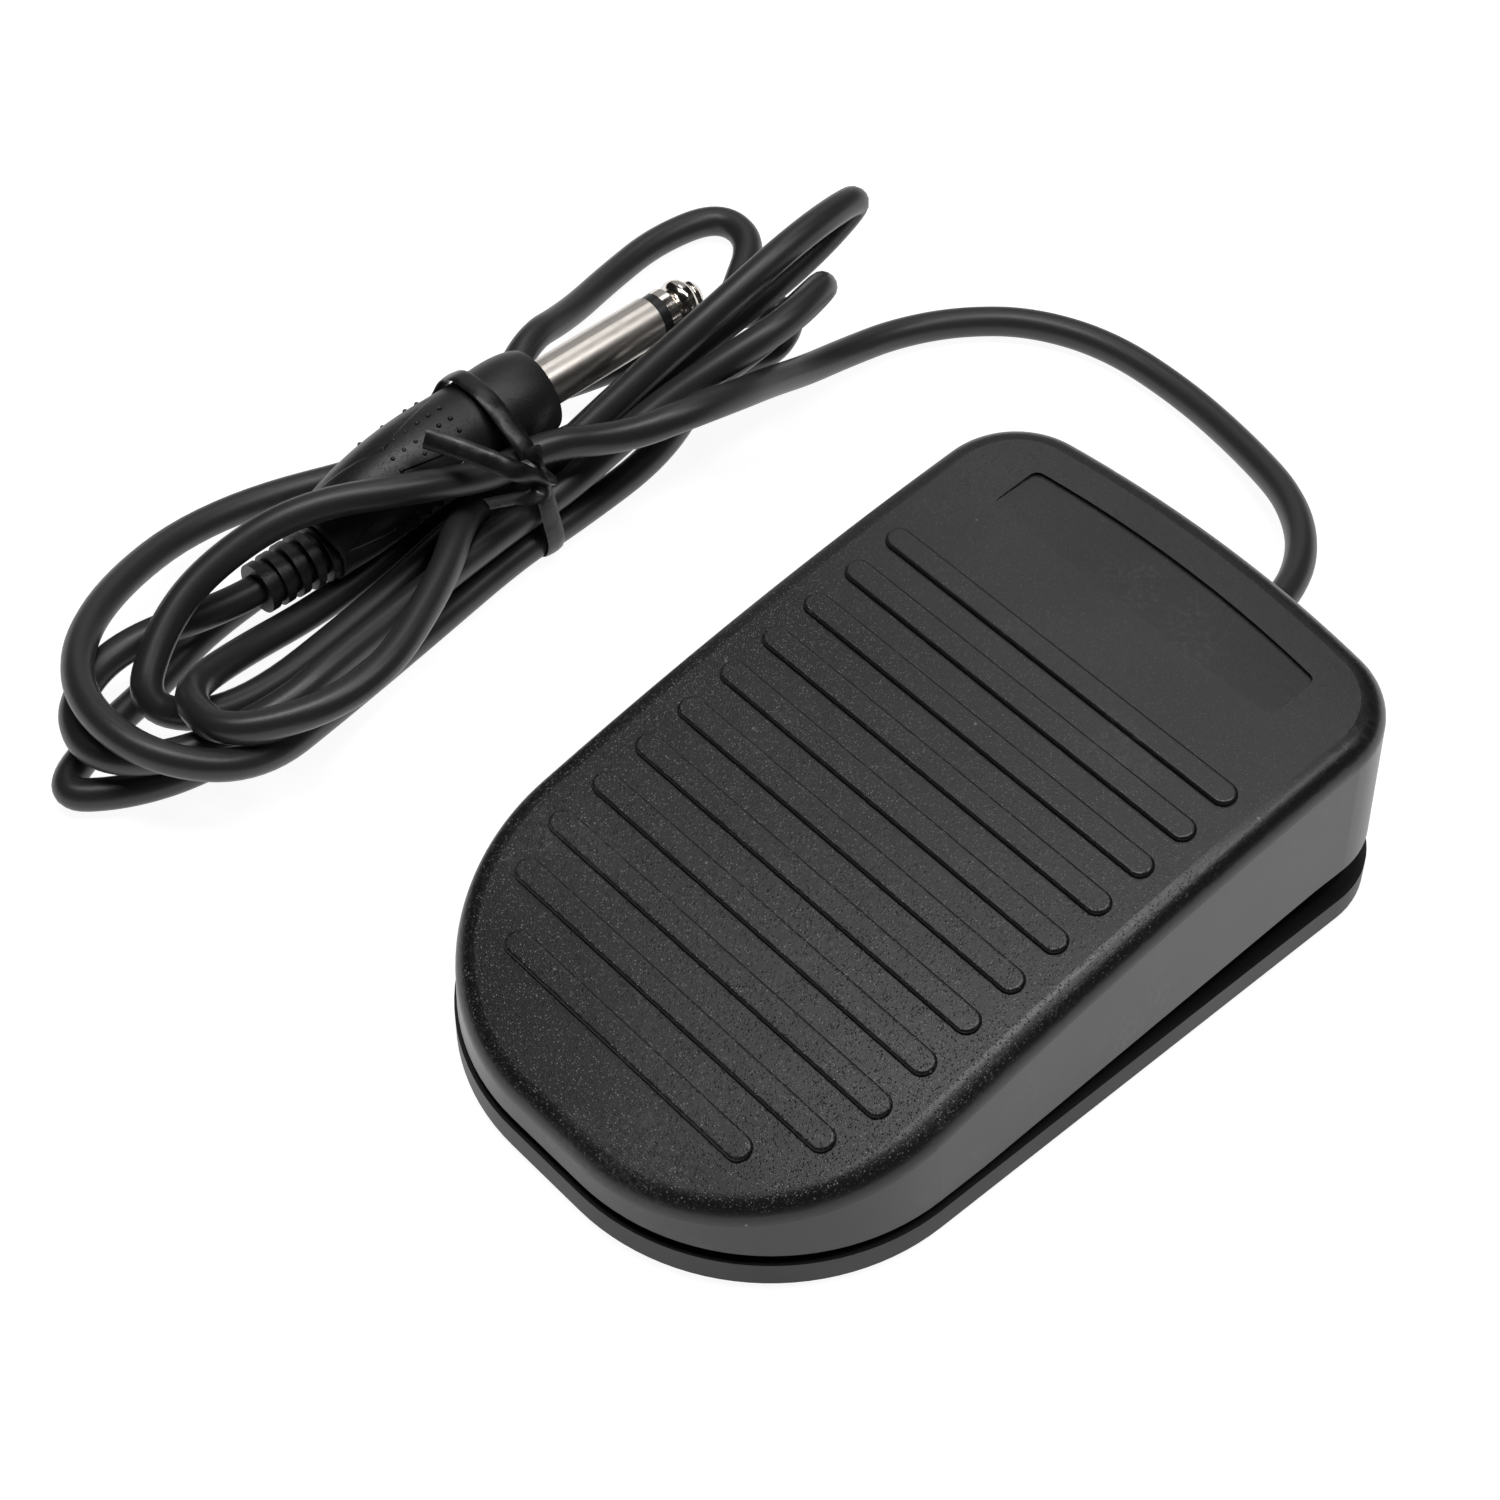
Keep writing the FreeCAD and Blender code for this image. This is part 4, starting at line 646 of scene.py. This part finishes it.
def tie_section(name, upright):
    """The outline of the tie's film and wire core, which a curve carries along."""
    fresh()
    bpy.ops.curve.primitive_bezier_curve_add(location=(0, 0, 0))
    outline = bpy.context.object
    outline.name = name
    outline.data.dimensions = "2D"
    outline.data.splines.clear()
    spline = outline.data.splines.new("POLY")
    spline.points.add(len(tie_profile) - 1)
    for knot, (across, rise) in zip(spline.points, tie_profile):
        knot.co = (rise * MM, across * MM, 0, 1) if upright else (across * MM, rise * MM, 0, 1)
    spline.use_cyclic_u = True
    return outline


def tie_run(name, points, closed, flat):
    """A length of the tie as a mesh, swept along its curve."""
    outline = tie_section(name + "_outline", flat)
    run = bend_curve(name, points, closed, flat)
    run.data.bevel_mode = "OBJECT"
    run.data.bevel_object = outline
    run.data.use_fill_caps = not closed
    bpy.ops.object.convert(target="MESH")
    run = bpy.context.object
    bpy.data.objects.remove(outline)
    return run


tie_band = tie_run("tie_band", band_points, True, True)
tie_band.rotation_euler = (math.radians(90), 0, 0)
tie_band.location = (0, band_y * MM, 0)
tie_long = tie_run("tie_long", long_end, False, False)
tie_short = tie_run("tie_short", short_end, False, False)
twist_tie = joined([tie_band, tie_long, tie_short], "twist_tie")
bpy.ops.object.mode_set(mode="EDIT")
bpy.ops.mesh.select_all(action="SELECT")
bpy.ops.mesh.remove_doubles(threshold=0.000001)
bpy.ops.mesh.normals_make_consistent(inside=False)
bpy.ops.object.mode_set(mode="OBJECT")
bpy.ops.object.shade_smooth_by_angle(angle=math.radians(tie_smooth_angle))

tie_plastic, tree, shader, place = new_finish("tie_plastic")
marks = marks_of(tree, place, spread=420.0)
creases = noise_of(tree, place, creases_per_metre, Detail=3.0)
tree.links.new(blend_of(tree, product(tree, marks["Scuffs"], film_scuffs), film_black, film_creased),
               shader.inputs["Base Color"])
tree.links.new(band_of(tree, creases, *crease_range, *film_roughness), shader.inputs["Roughness"])
relief(tree, shader, creases, depth=0.00025, strength=0.35)
twist_tie.data.materials.append(tie_plastic)
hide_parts("cord_tie")
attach(twist_tie, "base")

# The cord: a 4 mm round PVC cable, about 1.3 m from the pedal to its plug. It leaves the rear wall, lies
# along the floor, climbs on to the hank, takes nine loops through the tie and ends in the plug's relief.
cord_diameter = 4.0
cord_roundness = 6
lead_route = [
    (0, 50, 8), (0, 63, 8), (-4, 73, 7.2), (-12.5, 80.5, 5.5), (-24, 84.5, 3.6), (-37, 87, 2.3),
    (-50, 86.5, 2.2), (-60, 82, 2.2), (-66.4, 75, 2.2), (-70.2, 67, 2.4), (-71, 58.5, 3.6),
    (-69.8, 50, 6.6), (-67.8, 42.4, 11), (-65.6, 34.6, 15.2), (-65.4, 26.6, 17.4), (-68.4, 18.6, 16.2),
    (-75.8, 12, 14),
]
waist_y = 8.0
waist_run = 4.0
waist = {
    "a": (-93.9, 2.9), "b": (-89.6, 2.9), "c": (-85.3, 2.9), "d": (-81, 2.9), "e": (-76.7, 2.9),
    "f": (-72.2, 2.9), "g": (-77.6, 7.5), "h": (-73.2, 7.4), "start": (-75.8, 14),
}
plug_end = (-84.4, -26.5, 8.4)
hank_loops = [
    ([(-77.4, -6.8, 17.8), (-83.5, -20, 18.8), (-86, -32, 14.8), (-84.4, -40.6, 11.2), (-79.2, -48.2, 6.8),
      (-74.4, -38, 2.2), (-77.5, -14.5, 2.2)], "d"),
    ([(-79.2, 27.2, 8.4), (-77.9, 44.6, 13.2), (-78.3, 58.6, 15.4), (-79.4, 70, 19.6), (-75.8, 55, 23.4),
      (-75.6, 38, 18.6), (-76.9, 25.6, 13.2)], "g"),
    ([(-75.4, -2, 10.9), (-67.2, -11, 13.1), (-59, -28.5, 12.6), (-64.6, -45, 12.2), (-73.8, -45, 11),
      (-80.1, -37, 5.3), (-81.6, -16, 2.1)], "c"),
    ([(-83.4, 22, 2.3), (-80.2, 32, 5.6), (-77.4, 41, 7), (-74.4, 49.5, 7), (-79.7, 57.5, 6.6),
      (-84.6, 48.5, 6.8), (-87.2, 32.5, 5.6), (-94.8, 19.5, 2.1)], "a"),
    ([(-102.6, -21, 4), (-95.4, -42.6, 9), (-83.4, -54.4, 12.2), (-69.5, -54.2, 11.8), (-61.6, -44, 8.2),
      (-66.4, -27.5, 4.2), (-69.8, -13, 2.4)], "f"),
    ([(-74.3, 30.5, 2.2), (-83, 45.8, 2.2), (-90.5, 56.6, 2.2), (-96.3, 65.2, 2.2), (-103.4, 65.2, 2.2),
      (-105.2, 55.6, 2.2), (-103.6, 46, 2.4), (-99.2, 34.8, 5.2), (-95.6, 24.5, 9.6)], "b"),
    ([(-89, -30, 2.2), (-85, -41.6, 2.2), (-82.8, -52, 2.2), (-78.6, -61.2, 2.2), (-73.6, -55, 2.2),
      (-70.6, -46.6, 2.2), (-70.2, -36, 2.2), (-73.4, -15, 2.2)], "e"),
    ([(-74.8, 26, 9), (-73, 43.6, 11.6), (-72.4, 57.8, 17.2), (-67.6, 45.6, 19.8), (-69.6, 35.6, 17),
      (-72.3, 26, 12.8)], "h"),
    ([(-68.2, -26.5, 9.2), (-67, -36, 8.4), (-69.8, -49, 7.2), (-76.6, -56.6, 7), (-85, -54.2, 7),
      (-89.2, -44.2, 7.2)], "plug"),
]


def cord_points():
    """The cord's control points: the lead, then each loop, with a straight run through the tie between."""
    points = [Vector(p) for p in lead_route]
    points.append(Vector((waist["start"][0], waist_y - waist_run, waist["start"][1])))
    for loop, place in hank_loops:
        points += [Vector(p) for p in loop]
        if place == "plug":
            points.append(Vector(plug_end) - Vector((0, waist_run, 0)))
            points.append(Vector(plug_end))
            continue
        near, far = (waist_run, -waist_run) if loop[0][1] > waist_y else (-waist_run, waist_run)
        x, z = waist[place]
        points += [Vector((x, waist_y + near, z)), Vector((x, waist_y + far, z))]
    return points


fresh()
bpy.ops.curve.primitive_nurbs_path_add(location=(0, 0, 0))
cord = bpy.context.object
cord.name = "cord"
cord_route = cord_points()
cord.data.splines.clear()
cord_spline = cord.data.splines.new("NURBS")
cord_spline.points.add(len(cord_route) - 1)
for knot, route_point in zip(cord_spline.points, cord_route):
    knot.co = (route_point[0] * MM, route_point[1] * MM, route_point[2] * MM, 1)
cord_spline.order_u = 3
cord_spline.use_endpoint_u = True
cord_spline.resolution_u = 10
cord.data.dimensions = "3D"
cord.data.bevel_depth = cord_diameter / 2 * MM
cord.data.bevel_resolution = cord_roundness
cord.data.use_fill_caps = True
cord.data.materials.append(sheath_pvc)
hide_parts("cord_lead", "cord_hank")
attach(cord, "base")
